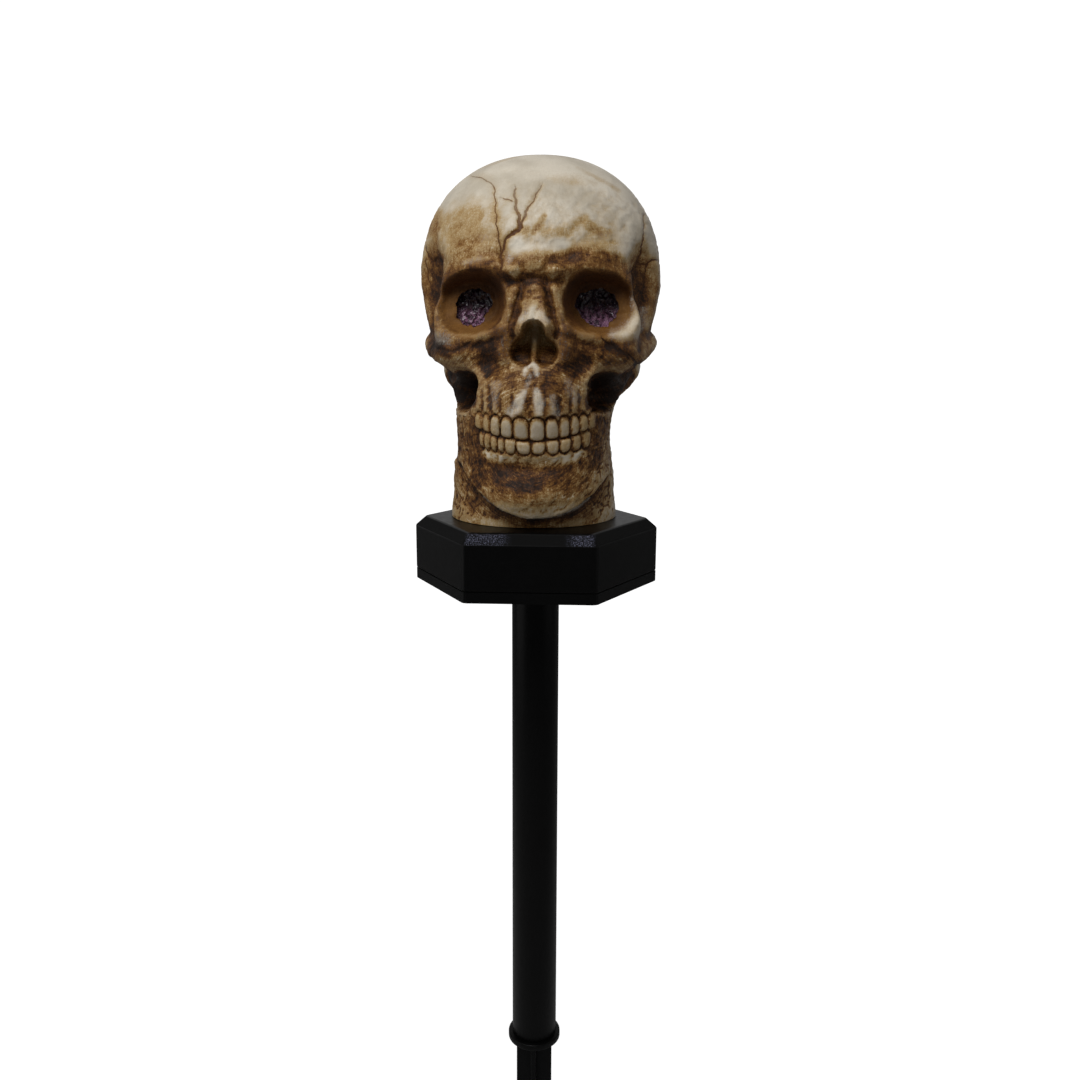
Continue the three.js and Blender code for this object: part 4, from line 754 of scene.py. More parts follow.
FACE_DOME_SHARES = [
    (1.6, 0, 77, 21, 14), (2.0, 0, 68.2, 9, 5.6), (-0.6, 0, 64.2, 3.4, 2), (2.6, 22, 47, 9, 6.5),
    (2.5, 0, 36, 17, 12), (-2.0, 11.5, 43.5, 4.5, 5), (2, 0, 9.5, 13, 6.5), (-1.4, 0, 17, 14, 4),
    (1.2, 16.5, 71.5, 8, 3.5),
]
FACE_RIDGE_SHARES = [
    (2.0, (5.5, 66.6, 3.0), (12, 68, 3.8), (19, 67.6, 4.0), (24.5, 64, 3.4)),
    (2.0, (5, 62, 2.6), (6.6, 55, 3.1), (8.2, 46, 3.6)),
    (1.3, (9, 52.3, 2.4), (15.5, 50.2, 2.4), (23, 51.2, 2.6)),
]
NOSE_BONE_SHARES = ((0, 61.6, 3.1), (0, 58.5, 3.7), (0, 53, 5.0))
NOSE_RISE_SHARES = (2.3, 4.1)
NOSE_OPENING_SHARES = [(0, 50.8, 2.9, 3.6), (2.6, 46.7, 3.2, 3.3), (0, 48.6, 4.3, 3.4)]
NOSE_DEPTH_SHARE = 5.6
SEPTUM_SHARE = 3.4
ORBIT_SHARES = (16.4, 59.2, 9.0, 7.7)
ORBIT_FLOOR_SHARE = -17.2
ORBIT_TILT = -8
ORBIT_POWER = 2.4
SIDE_DOME_SHARES = [
    (-4.6, -11.5, 64, 10.5, 15), (-2.6, -8, 40.5, 12, 5), (3.2, 15, 39, 7.5, 8), (2.2, -18, 59.5, 5, 12),
    (-2.2, 9, 26, 6.5, 13), (2.6, -16, 53.5, 6.5, 9),
]
CHEEK_ARCH_SHARES = ((-21, 45, 6), (-12, 45, 6), (-2, 47, 5.4), (6, 49, 4.2))
CHEEK_ARCH_OUT_SHARE = 3.0
CHEEK_HOLLOW_SHARES = (19.5, 36.5, 4.7, 5.8)
CHEEK_HOLLOW_TILT = 14
CHEEK_HOLLOW_POWER = 2.6
CHEEK_HOLLOW_DEPTH_SHARE = 9
# The whole head stands to the left at the foot, and leans to the right between these heights
LEAN_START = -1.3
LEAN_SHARES = (24, 46)


def outline_at(height, column):
    """One column of the outline between its rows, by Hermite curves through them."""
    x, y = OUTLINE_SHARES[:, 0], OUTLINE_SHARES[:, column]
    k = np.clip(np.searchsorted(x, height, side="right") - 1, 1, len(x) - 3)
    t = (height - x[k]) / (x[k + 1] - x[k])
    low = (y[k + 1] - y[k - 1]) / (x[k + 1] - x[k - 1]) * (x[k + 1] - x[k])
    high = (y[k + 2] - y[k]) / (x[k + 2] - x[k]) * (x[k + 1] - x[k])
    return ((2 * t**3 - 3 * t**2 + 1) * y[k] + (t**3 - 2 * t**2 + t) * low
            + (3 * t**2 - 2 * t**3) * y[k + 1] + (t**3 - t**2) * high)


def nose_at(across, up):
    """Distance from the nose opening, 1 on its edge."""
    return np.minimum.reduce([oval(across, up, place) for place in NOSE_OPENING_SHARES])


def orbit_at(side, up):
    """Distance from an eye socket's middle, 1 on its edge."""
    return oval(side, up, ORBIT_SHARES, ORBIT_TILT, ORBIT_POWER)


def cheek_hollow_at(side, up):
    """Distance from a cheek hollow's middle, 1 on its edge."""
    return oval(side, up, CHEEK_HOLLOW_SHARES, CHEEK_HOLLOW_TILT, CHEEK_HOLLOW_POWER)


def face_relief(across, up):
    """How far the face stands out: the sum of its domes and ridges and the nose bone, cut by the nose opening."""
    out = np.zeros(np.shape(across))
    for amount, *place in FACE_DOME_SHARES:
        out = out + amount * dome(oval(across, up, place))
    for amount, *points in FACE_RIDGE_SHARES:
        out = out + amount * dome(along_line(across, up, points)[0])
    bone, along = along_line(across, up, NOSE_BONE_SHARES)
    out = out + fade(bone, 1.25, 0.6) * (NOSE_RISE_SHARES[0] + NOSE_RISE_SHARES[1] * along)
    open_here = fade(nose_at(across, up), 1.15, 0.8)
    septum = fade(across, 1.7, 0.2) * fade(up, 53.5, 49)
    depth = NOSE_DEPTH_SHARE * (0.45 + 0.55 * fade(up, 44.5, 49.5))
    return out * (1 - open_here) + open_here * (SEPTUM_SHARE * septum - depth)


def side_relief(back, up):
    """How far the sides stand out: the cheek arch and the hollows round it."""
    out = CHEEK_ARCH_OUT_SHARE * dome(along_line(back, up, CHEEK_ARCH_SHARES)[0])
    for amount, *place in SIDE_DOME_SHARES:
        out = out + amount * dome(oval(back, up, place))
    return out


def spine_at(up):
    """The middle line that each level is drawn round."""
    return SPINE_SHARES[0] + (SPINE_SHARES[1] - SPINE_SHARES[0]) * fade(up, 0, 50)


def skull_point(bearing, up):
    """A point of the outside, in shares, for a bearing round from the face and a height.

    The radius is a superellipse of the outline's row, closed at the crown by (1 - c^2.25)^(1/2.25) and narrowed to
    the neck under the jaw's edge. Side relief moves it outwards, face relief moves it forwards, and the eye sockets
    and cheek hollows press it in.
    """
    level = np.minimum(up, CROWN_START_SHARE)
    crown = np.clip(up - CROWN_START_SHARE, 0, None) / (100 - CROWN_START_SHARE)
    closing = np.clip(1 - crown ** CROWN_POWER, 0, None) ** (1 / CROWN_POWER)
    spine = spine_at(level)
    sine, cosine = np.sin(bearing), np.cos(bearing)
    reach = np.where(cosine > 0, spine - outline_at(level, 2), outline_at(level, 3) - spine)
    square = outline_at(level, 4)
    oblong = (np.abs(sine) / outline_at(level, 1)) ** square + (np.abs(cosine) / reach) ** square
    radius = closing / oblong ** (1 / square)
    half, front, back = NECK_SHARES
    neck_reach = np.where(cosine > 0, spine - front, back - spine)
    neck = (1 + 0.03 * fade(up, 8, 1)) / np.hypot(sine / half, cosine / neck_reach)
    across = np.minimum(np.abs(radius * sine - JAW_SHIFT_SHARE), 22)
    edge = JAW_EDGE_SHARES[0] + JAW_EDGE_SHARES[1] * (across / JAW_EDGE_SHARES[2]) ** 2.2
    nape = fade(spine - radius * cosine, 0, 6)
    jaw = nape * fade(up, 4, 32) + (1 - nape) * fade(up, edge, edge + 1.5)
    radius = neck + (radius - neck) * jaw
    y = spine - radius * cosine
    side = np.abs(radius * sine)
    face = fade(y, 11, -5)
    pressed = CHEEK_HOLLOW_DEPTH_SHARE * fade(cheek_hollow_at(side, up), 1.1, 0.6) * fade(y, 3, -5)
    pushed = side_relief(y, up) * fade(side, 16.5, 24.5)
    shown = np.maximum(radius - pressed + pushed, 3 * closing)
    plain = spine - shown * cosine - face_relief(side, up) * face
    bowl = fade(orbit_at(side, up), 1.08, 0.66) * face
    back_to = plain + (np.maximum(ORBIT_FLOOR_SHARE, plain) - plain) * bowl
    return np.stack([shown * sine, back_to, up + 0 * bearing], -1)


def lean_at(up):
    """How far to the right the head sits at a height, in millimetres."""
    return LEAN_START + bpy.context.scene.skull_light_skull.lean * fade(up, *LEAN_SHARES)


# Teeth, cracks and paint, in millimetres across and above the skull's foot. Tooth edges from left to right
UPPER_TOOTH_EDGES = np.array([-30, -26.8, -22.8, -18.8, -13.9, -8, -0.2, 7.1, 13.4, 18.6, 22.8, 26.8, 31])
LOWER_TOOTH_EDGES = np.array([-24.5, -21.8, -18.8, -15.4, -12, -6.6, 0.4, 7.5, 13.6, 19, 24, 28.2])
TOOTH_MIDDLE = 1.8
GUM_HEIGHT, BITE_HEIGHT, ROOT_HEIGHT = 54.6, 44.0, 37
BITE_RISE, GUM_RISE, ROOT_RISE = 4.8, 2.0, 2.8
ROW_HALF_WIDTH = 27
# Thin lines as bent lines: across, up and half width. No two of a set meet, so each set has one signed distance
THIN_LINES = {
    "crack": [
        ((-13, 121, 0.7), (-13.3, 128, 0.9), (-11.6, 133.6, 1.0), (-8, 137, 1.3), (-4.4, 139.6, 1.3), (-5, 142, 1.1),
         (-5.9, 146, 1.0), (-7.4, 151, 0.9), (-7.9, 158, 0.5)),
        ((52.8, 150, 0.4), (52.4, 140, 0.5), (51, 131, 0.6), (48.8, 125.5, 0.7), (45.4, 120.6, 0.5)),
        ((54, 125, 0.5), (53.4, 117, 0.5), (53, 110, 0.4)),
        ((-54.2, 135, 0.5), (-53, 130.6, 0.7), (-49.4, 127, 0.8), (-47, 129, 0.6), (-44, 126.8, 0.4)),
        ((-49.4, 87.2, 0.5), (-46.5, 86.3, 0.7), (-40, 84.8, 0.8), (-33.4, 85.2, 0.7), (-29, 89, 0.4)),
        ((33, 91, 0.4), (35.4, 88, 0.6), (42.6, 85, 0.8), (48.6, 81, 0.8), (51.8, 77.6, 0.6), (51.4, 73.5, 0.4)),
    ],
    "branch": [
        ((-30, 167.4, 0.4), (-26.5, 165.6, 0.4), (-22.5, 164, 0.4), (-19.4, 161.6, 0.4), (-17.6, 157.6, 0.4),
         (-16.9, 151, 0.38), (-15.8, 142, 0.38), (-14.6, 135, 0.38), (-13.4, 127.5, 0.4)),
        ((-4.4, 140.2, 0.9), (-2.4, 146, 0.7), (0.3, 151.4, 0.5), (4, 159.5, 0.35)),
        ((-13, 153.4, 0.4), (-9.4, 152, 0.5)),
        ((49.6, 126.5, 0.6), (54.6, 126, 0.6), (57, 129, 0.6), (62, 129.2, 0.5)),
        ((-54.4, 128, 0.5), (-53.6, 121, 0.6), (-51.6, 113, 0.4)),
        ((-50.2, 86.3, 0.5), (-52, 83, 0.6), (-51.6, 78, 0.5)),
    ],
    # The pale line along the jaw's lower edge: partly dry-brushed paint, partly a painted highlight on the rim
    "edge": [
        ((-30, 20, 0.3), (-24, 14, 0.5), (-15, 9, 0.6), (-6.4, 6.6, 0.7), (3, 5.8, 0.7), (12, 6.2, 0.7),
         (22.4, 9.4, 0.6), (30, 15, 0.4)),
    ],
}
# Paint on the face, soft to its edge: an amount and an oval (across, up, half sizes), or a bent line as above
WASH_OVALS = [
    (0.3, -37, 145, 25, 9), (0.34, -31, 132, 9, 6), (0.24, -34, 137, 20, 22), (0.08, 36, 150, 16, 18),
    (0.4, -48, 146, 8, 9),
    (0.2, 2, 121, 16, 8), (0.2, -9, 25, 10, 9), (0.2, 3, 26, 12, 5), (0.35, -8, 73, 3, 3), (0.4, 32.5, 47, 4.5, 10),
    (0.35, 31, 34, 4, 7), (0.3, -28, 46, 3.5, 9), (0.25, -24, 24, 7, 6), (0.25, 9, 70, 4, 6), (0.15, 20, 163, 16, 5),
    (0.35, -14, 88, 5, 12), (0.35, 17, 88, 5, 12), (0.2, -3, 48, 30, 1.5),
    (0.5, -41, 87, 11, 6), (0.3, 41, 85, 11, 6), (0.55, -6, 25, 16, 6),
]
WASH_AND_SHADE_LINES = [
    (0.17, (1.5, 135, 3.4), (9.2, 136, 3.4), (15.3, 138.4, 3.2), (20, 142, 3), (24.5, 144.4, 2.6)),
    (0.24, (23, 143.4, 2.4), (26.4, 141, 3), (31.3, 138.4, 3), (35, 138, 2.2)),
    (0.26, (1.4, 137, 2), (3.6, 140, 2.4), (6, 144.6, 1.8)), (0.2, (-1.6, 138.5, 2), (-2.3, 134, 2)),
    # This row and the next: dark bands under the brow ridges, partly brown wash and partly painted shadow
    (0.42, (10, 124, 4), (20, 126, 6), (29, 126, 7), (38, 124, 6), (46, 118, 4)),
    (0.35, (-43, 117, 3), (-36, 121.4, 3.4), (-28, 122, 3), (-18, 121, 3.4), (-12, 117, 4)),
    (0.4, (-21.5, 123.8, 1.8), (-17.6, 124.6, 2)),
    (0.18, (-4.8, 112, 1.8), (-7, 105, 3), (-9, 99, 3.6)), (0.18, (8.4, 112, 1.8), (11, 105, 3), (13, 99, 3.6)),
    # Painted shadow under the glabella, round the top of the nose bone
    (0.25, (-4.6, 112.4, 1.6), (1.8, 116.4, 1.4), (8.2, 112.4, 1.6)),
    (0.3, (-24, 172, 1.6), (-10, 177, 1.6)), (0.2, (20, 170, 1.6), (40, 160, 1.6)),
]
CHALK_AND_HIGHLIGHT_LINES = [
    (0.6, (-10.4, 125, 3), (-9, 129, 5), (-4, 132, 5)), (0.35, (-22, 135.5, 4), (-17, 137, 4)),
    (0.4, (15.5, 133, 3.5), (28, 135, 3.6), (39, 137.6, 3.2)), (0.3, (-31, 124.4, 2), (-22.5, 126.4, 2.4)),
    (0.42, (-4, 98.8, 2.4), (2.2, 102, 3.6), (8, 98.8, 2.4)), (0.2, (2, 105, 2.6), (1.6, 112, 2.6)),
    (0.42, (38, 93.6, 4), (43, 94.6, 5.6), (48, 99, 5)), (0.25, (48, 103, 3), (48, 109, 3)),
    (0.6, (-2.4, 74.6, 1.6), (-1.6, 78, 1.8), (0.6, 79.4, 1.8), (2.6, 78, 1.8), (3.2, 74.6, 1.6)),
    (0.4, (0.2, 74, 1.8), (-1.8, 67.5, 2)), (0.7, (-2.4, 66.4, 2.2), (-5.6, 60.4, 3.8), (-8.4, 57.4, 3)),
    (0.7, (3.2, 67.4, 2), (4.3, 62.4, 3.8), (4.6, 58.6, 3)), (0.45, (10.9, 64, 2.8), (12.3, 56.8, 3.2)),
    (0.3, (17.4, 71.4, 3), (20.2, 62.6, 3.4)), (0.3, (-15.6, 69.4, 4), (-17.3, 61, 4)),
    # Chalk along the jaw's lower edge, partly a painted highlight on the rim
    (0.6, (-24, 14, 1.2), (-15, 9, 1.6), (-6.4, 6.8, 2), (3, 6, 2.4), (12, 6.4, 2.2), (22.4, 9.6, 1.6), (28, 13.4, 1)),
    (0.16, (-21, 37.2, 2), (-12, 34.4, 3), (0, 33, 3.4), (13, 34, 3), (24, 37.2, 1.8)),
    # Next line, second row: pale paint and partly a painted highlight on the right eye's lit outer rim
    (0.3, (-48, 92, 3.4), (-40, 89.5, 3.2)), (0.5, (49, 93, 3), (53, 98, 3.6), (53, 105, 3)),
]
# Places that the wash left thinner
BARE_LINES = [
    (0.64, (-21, 37, 2.6), (-12, 34, 4), (0, 32.6, 4.6), (13, 33.8, 4.2), (24, 37, 2.6)),
    (0.3, (-6, 131, 5), (3, 133, 5), (14, 131, 5)),
    # Next line, first row: less wash on the right eye's outer rim, partly a painted highlight where it is lit
    (0.3, (44, 94, 5), (50, 101, 4)), (0.25, (-14, 12, 4), (4, 9, 5), (20, 12, 4)),
    (0.34, (1.8, 113.4, 2.2), (1.8, 106, 3), (1.8, 100, 3.6)),
    (0.24, (-5, 119.6, 4), (1.8, 121.4, 4.4), (8.6, 119.6, 4)), (0.3, (-24, 2, 3), (0, 0.5, 3), (24, 2, 3)),
]


def ovals(x, height, table):
    """The strongest oval at each place, each one soft to its edge."""
    return np.maximum.reduce([amount * fade(oval(x, height, place), 1.3, 0.3) for amount, *place in table])


def lines(x, height, table):
    """The strongest line at each place, each one soft to its edge."""
    return np.maximum.reduce([amount * fade(along_line(x, height, line)[0], 1.3, 0.2) for amount, *line in table])


def row_lift(x, rise):
    """How far a row of teeth has risen towards its ends: rise (x / half)^2."""
    return rise * ((x - TOOTH_MIDDLE) / ROW_HALF_WIDTH) ** 2


def tooth_row(x, height, edges, low, high, narrow):
    """One row: how round each tooth is at each place, and the distance across its own tooth from -1 to 1.

    A tooth is (1 - q^3.2)^0.6 with q = (|a|^3 + |b|^p)^(1/3.2), where p is 2.4 towards the root and 4.4 towards the
    bite; a narrows towards the root, and each tooth's length differs from the next by a sine of its number.
    """
    k = np.clip(np.searchsorted(edges, x) - 1, 0, len(edges) - 2)
    middle, half = (edges[k] + edges[k + 1]) / 2, (edges[k + 1] - edges[k]) / 2
    longer = 1 + 0.05 * np.sin(2.3 * k + narrow)
    up = np.clip((height - (low + high) / 2) / ((high - low) / 2) / longer, -2, 2)
    across = (x - middle) / half + 0.07 * np.sin(3.7 * k + 1) * up
    inside = (x > edges[0]) & (x < edges[-1])
    waist = 1.02 - 0.1 * narrow * up
    power = np.where(up * narrow > 0, 2.4, 4.4)
    q = ((np.abs(across) / waist) ** 3.0 + np.abs(up) ** power) ** (1 / 3.2)
    out = np.clip(1 - q ** 3.2, 0, None) ** 0.6 * (1 + 0.12 * np.sin(4.3 * k + 2 * narrow))
    return np.where(inside, out, 0), np.where(inside, across, 1)


def face_details(x, height):
    """Teeth and roots on the face: how far out in tooth depths, how much is tooth, and how deep between teeth."""
    gum = GUM_HEIGHT + row_lift(x, GUM_RISE)
    bite = BITE_HEIGHT + row_lift(x, BITE_RISE)
    root = ROOT_HEIGHT + row_lift(x, ROOT_RISE)
    upper, upper_across = tooth_row(x, height, UPPER_TOOTH_EDGES, bite - 0.1, gum, 1)
    lower, lower_across = tooth_row(x, height, LOWER_TOOTH_EDGES, root, bite - 0.3, -1)
    row = fade(np.abs(x - TOOTH_MIDDLE), 30, 27)
    arch = 1.1 - 2.6 * upper_across ** 2
    scallop = 2.2 * lower_across ** 2 - 0.8
    foot, top = root + scallop, gum + arch
    band = fade(height, foot - 0.8, foot + 0.8) * fade(height, top + 0.8, top - 0.8) * row
    above = fade(height, gum - 0.5, gum + 2) * fade(height, gum + 17, gum + 3) * row
    below = fade(height, root + 0.5, root - 2) * fade(height, root - 9, root - 3) * row
    ridge_up = (0.5 + 0.5 * np.cos(upper_across * math.pi)) ** 0.7 * above
    ridge_down = np.cos(lower_across * math.pi) * below
    tooth = np.clip(np.maximum(upper, lower), 0, 1.15) * band
    out = -0.42 * band + 0.78 * tooth + 0.42 * ridge_up - 0.2 * above + 0.05 * ridge_down
    return out, np.minimum(tooth, 1), band * (1 - np.minimum(tooth, 1))


def thin_lines(x, height, table):
    """The signed distance from the nearest bent line in its own half widths, and the plain distance from it."""
    wander_x = x + 0.3 * np.sin(height * 0.9) + 0.12 * np.sin(height * 2.3 + x)
    wander_up = height + 0.3 * np.sin(x * 0.8) + 0.12 * np.sin(x * 2.1 + height)
    signed, nearest = np.full(x.shape, float(FAR)), np.full(x.shape, np.inf)
    for line in table:
        for (x0, up0, w0), (x1, up1, w1) in zip(line[:-1], line[1:]):
            run, rise = x1 - x0, up1 - up0
            t = np.clip(((wander_x - x0) * run + (wander_up - up0) * rise) / (run ** 2 + rise ** 2), 0, 1)
            off_x, off_up = wander_x - x0 - t * run, wander_up - up0 - t * rise
            distance = np.hypot(off_x, off_up)
            hand = np.where(run * off_up > rise * off_x, 1, -1)
            signed = np.where(distance < nearest, hand * distance / (w0 + (w1 - w0) * t), signed)
            nearest = np.minimum(nearest, distance)
    return signed, nearest


def grid_normals(points):
    """Outward unit normals of a grid of rings, from the differences of its neighbours."""
    around = np.roll(points, -1, 1) - np.roll(points, 1, 1)
    upwards = np.gradient(points, axis=0)
    normal = np.cross(around, upwards)
    return normal / np.maximum(np.linalg.norm(normal, axis=-1, keepdims=True), 1e-9)


def eased_grid(points, passes):
    """The grid with each point moved to the mean of its four neighbours, several times over."""
    for _ in range(passes):
        low = np.concatenate([points[:1], points[:-1]])
        high = np.concatenate([points[1:], points[-1:]])
        points = (np.roll(points, 1, 1) + np.roll(points, -1, 1) + low + high) / 4
    return points


# Heights in shares with the wash there, then where a heavy wash starts to level off and how far it can still rise
WASH_DOWN = np.array([
    (0, 0.6), (6, 0.74), (20, 0.84), (30, 0.68), (45, 0.78), (62, 0.78), (68, 0.6), (73, 0.3), (80, 0.1), (100, 0.04),
])
HEAVY_WASH = 0.8
WASH_ROOM = 0.3
# The thin lines' strength at heights above the foot, the widest distance kept, and the carved crack's reach
LINE_STRENGTH = np.array([(100, 1), (112, 0.8), (138, 0.78), (147, 0.6)])
FAR = 9
VALLEY_REACH = 1.7
HALO_REACH = 4.5
# How often the skin is eased to find its narrow creases and its wide hollows, where the wash also holds painted shade
EASING_PASSES = (5, 60)
SKULL_COLUMNS = 280
SKULL_ROWS = 330
FACE_CROWDING = 0.74
# Share of the rows used up at each height, so that the teeth and the face get the closest rows
ROW_STOPS = np.array([(0, 0), (0.13, 18.5), (0.34, 32.5), (0.65, 66), (0.89, 88), (1, 100)])
CAVITY_COLUMNS = 64
CAVITY_ROWS = 40
CAVITY_CROWN_ROWS = 14
CAVITY_SEEN_COLUMNS = 360
CAVITY_SIGHT = math.pi / 22
CAVITY_ALLOWANCE = 0.4
CAVITY_OVERRUN = 2.0


def bearings(count):
    """Bearings from -pi to pi, closer over the face: b - 0.74 sin b."""
    even = (np.arange(count) + 0.5) * 2 * math.pi / count - math.pi
    return even - FACE_CROWDING * np.sin(even)


def skull_outside():
    """The outer skin with all its relief, and the paint that goes with it."""
    sizes = bpy.context.scene.skull_light_skull
    share = np.arange(SKULL_ROWS) / (SKULL_ROWS - 0.5)
    level = np.interp(share, ROW_STOPS[:, 0], ROW_STOPS[:, 1])
    crown = np.clip((share - ROW_STOPS[-2, 0]) / (1 - ROW_STOPS[-2, 0]), 0, 1)
    level = np.where(crown > 0, ROW_STOPS[-2, 1] + (100 - ROW_STOPS[-2, 1]) * np.sin(crown * math.pi / 2), level)
    bearing, up = np.meshgrid(bearings(SKULL_COLUMNS), level)
    shares = skull_point(bearing, up)
    points = shares * HUNDREDTH
    points[..., 0] += lean_at(up)
    x, height = points[..., 0], points[..., 2]
    face = fade(shares[..., 1], 2, -14)
    out, tooth, groove = face_details(x, height)
    front = fade(shares[..., 1], 12, 2)
    thin = {name: thin_lines(x, height, table) for name, table in THIN_LINES.items()}
    from_crack = np.minimum(thin["crack"][1], thin["branch"][1])
    valley, halo = dome(from_crack / VALLEY_REACH), dome(from_crack / HALO_REACH) * front
    calm = fade(height, 178, 150) * fade(height, 0, 8)
    vein = fade(np.abs(ripples(points, 15)), 0.16, 0.0) * fade(height, 84, 62) * fade(np.abs(x), 20, 30)
    vein = vein * fade(shares[..., 1], 24, 6)
    lumps = 0.28 * ripples(points, 17) + 0.16 * ripples(points, 6.5) - 0.5 * vein
    normal = grid_normals(points)
    moved = sizes.tooth_depth * out * face - sizes.crack_depth * valley * front + lumps * calm * (1 - tooth * face)
    points = points + normal * moved[..., None]
    near, wide = (np.sum((eased_grid(points, passes) - points) * normal, -1) for passes in EASING_PASSES)
    paint = skull_paint(shares, x, height, near, wide, tooth * face, groove * face, halo, vein)
    strength = np.interp(height, LINE_STRENGTH[:, 0], LINE_STRENGTH[:, 1])
    for name, (signed, nearest) in thin.items():
        paint[name] = np.clip(signed, -FAR, FAR)
        paint[name + "_near"] = fade(nearest, 2.4, 1.2) * front * strength
    # The jaw-edge line, partly a painted highlight, fades out towards the sides
    paint["edge_near"] = paint["edge_near"] * fade(np.abs(x), 26, 19)
    points[..., 2] += SKULL_FOOT
    return ring_form(points), paint


def skull_paint(shares, x, height, near, wide, tooth, groove, halo, vein):
    """Amounts of paint: the wash from 0 to 1.5, chalk on raised places, and how far a place is eye socket.

    The wash grows downwards from the brow and in hollows, and thins on raised places; in the creases and hollows it is
    partly real wash and partly painted shade. Its strengths come from the blurred skin less the skin itself, along the
    normal, for narrow creases (near) and for wide hollows (wide).
    """
    side = np.abs(shares[..., 0])
    up = shares[..., 2]
    face = fade(shares[..., 1], 11, -8)
    hollow = np.clip(wide / 1.1, 0, 1)
    crease = np.clip(near / 0.14, 0, 1)
    raised = np.clip(-wide / 1.0, 0, 1)
    cheek = fade(cheek_hollow_at(side, up), 1.2, 0.7) * fade(shares[..., 1], 3, -5)
    socket = fade(orbit_at(side, up), 1.1, 0.9) * face
    wash = np.interp(up, WASH_DOWN[:, 0], WASH_DOWN[:, 1]) * (0.55 + 0.45 * face)
    ahead = fade(shares[..., 1], 24, 6)
    # Creases and hollows take more wash and raised places less: partly the real wash, partly painted shade in the
    # recesses
    wash = wash + 0.3 * hollow * fade(up, 84, 70) + 0.4 * crease * fade(up, 64, 59) * ahead - 0.28 * raised
    wash = wash + (ovals(x, height, WASH_OVALS) + lines(x, height, WASH_AND_SHADE_LINES)) * face
    wash = wash - lines(x, height, BARE_LINES) * face + 0.45 * vein
    wash = wash - 0.26 * fade(x, 27, 34) * fade(height, 56, 40) - 0.14 * fade(-x, 27, 35) * fade(height, 28, 18)
    level = fade(np.abs(height - 122), 50, 25)
    wash = wash + (0.22 * fade(-x, 42, 54) + 0.12 * fade(x, 46, 58)) * level
    wash = np.where(wash > HEAVY_WASH, HEAVY_WASH + WASH_ROOM * np.tanh((wash - HEAVY_WASH) / WASH_ROOM), wash)
    # The sockets darken towards the top and the inner side: partly their tan wash, partly painted shade under the brow
    inner = fade(side, ORBIT_SHARES[0], ORBIT_SHARES[0] - ORBIT_SHARES[2])
    bowl = 0.66 + 0.3 * fade(up, ORBIT_SHARES[1] - 2, ORBIT_SHARES[1] + 6) + 0.2 * inner
    wash = wash + (bowl - wash) * socket
    # Darkest wash in the cheek hollows and a heavy one round them under the cheek arch: partly real wash, partly
    # painted shadow
    under = fade(oval(side, up, (21.5, 36.6, 8.5, 4.4), 25), 1.15, 0.75) * fade(shares[..., 1], 18, 8)
    wash = np.maximum(wash, np.maximum(FULL_WASH * cheek, 1.3 * under))
    opened = fade(nose_at(side, up), 1.15, 0.85) * face
    wash = wash + (0.36 + 0.62 * fade(up, 50, 45) - 0.15 * fade(side, 1.6, 0.3) - wash) * opened
    toothed = 0.13 + 0.07 * fade(height, 48, 44) + np.where(x < 0, 0.3, 0.2) * (x / 28) ** 2
    toothed = toothed + 0.3 * fade(tooth, 0.8, 0.45)
    wash = wash + (toothed + 0.25 * crease - wash) * np.clip(1.3 * tooth, 0, 1)
    wash = np.maximum(wash, 0.85 * groove)
    wash = wash + np.where(height > 110, 0.1, 0.22) * halo
    chalk = lines(x, height, CHALK_AND_HIGHLIGHT_LINES) * face + 0.25 * raised * face * fade(up, 76, 60) * fade(up, 19, 26)
    chalk = chalk * (1 - np.clip(groove + 0.5 * halo + opened, 0, 1)) * (1 - 0.7 * tooth)
    return {"wash": np.clip(wash, 0, FULL_WASH), "chalk": np.clip(chalk, 0, 1), "socket": socket}


def skull_cavity(wall):
    """The hollow: at each bearing the nearest part of the outside, seen from the middle line, less the wall."""
    start, crown = CROWN_START_SHARE, 100 - CROWN_START_SHARE
    quarter = np.linspace(0, math.pi / 2, CAVITY_CROWN_ROWS, endpoint=False)
    level = np.concatenate([np.linspace(0, start, CAVITY_ROWS - CAVITY_CROWN_ROWS, endpoint=False),
                            start + crown * np.sin(quarter)])
    bearing, up = np.meshgrid(bearings(CAVITY_SEEN_COLUMNS), level)
    shares = skull_point(bearing, up)
    spine = spine_at(np.minimum(up, start))
    angle = np.arctan2(shares[..., 0], spine - shares[..., 1])
    distance = np.hypot(shares[..., 0], spine - shares[..., 1])
    target = (np.arange(CAVITY_COLUMNS) + 0.5) * 2 * math.pi / CAVITY_COLUMNS - math.pi
    near = np.cos(angle[:, None] - target[None, :, None]) > math.cos(CAVITY_SIGHT)
    nearest = np.where(near, distance[:, None], np.inf).min(-1)
    padded = np.concatenate([nearest[:1], nearest, nearest[-1:]])
    nearest = np.minimum(np.minimum(padded[:-2], padded[2:]), nearest) * HUNDREDTH
    radius = np.maximum(nearest - wall - CAVITY_ALLOWANCE, 1)
    shrink = 1 - wall / HUNDREDTH / crown
    rise = np.where(level > start, start + (level - start) * shrink, level) * HUNDREDTH
    rings = np.stack([
        radius * np.sin(target) + lean_at(level)[:, None],
        spine[:, :1] * HUNDREDTH - radius * np.cos(target),
        np.broadcast_to(SKULL_FOOT + rise[:, None], radius.shape)], -1)
    foot = rings[:1] - np.array([0, 0, CAVITY_OVERRUN])
    return ring_form(np.concatenate([foot, rings]))


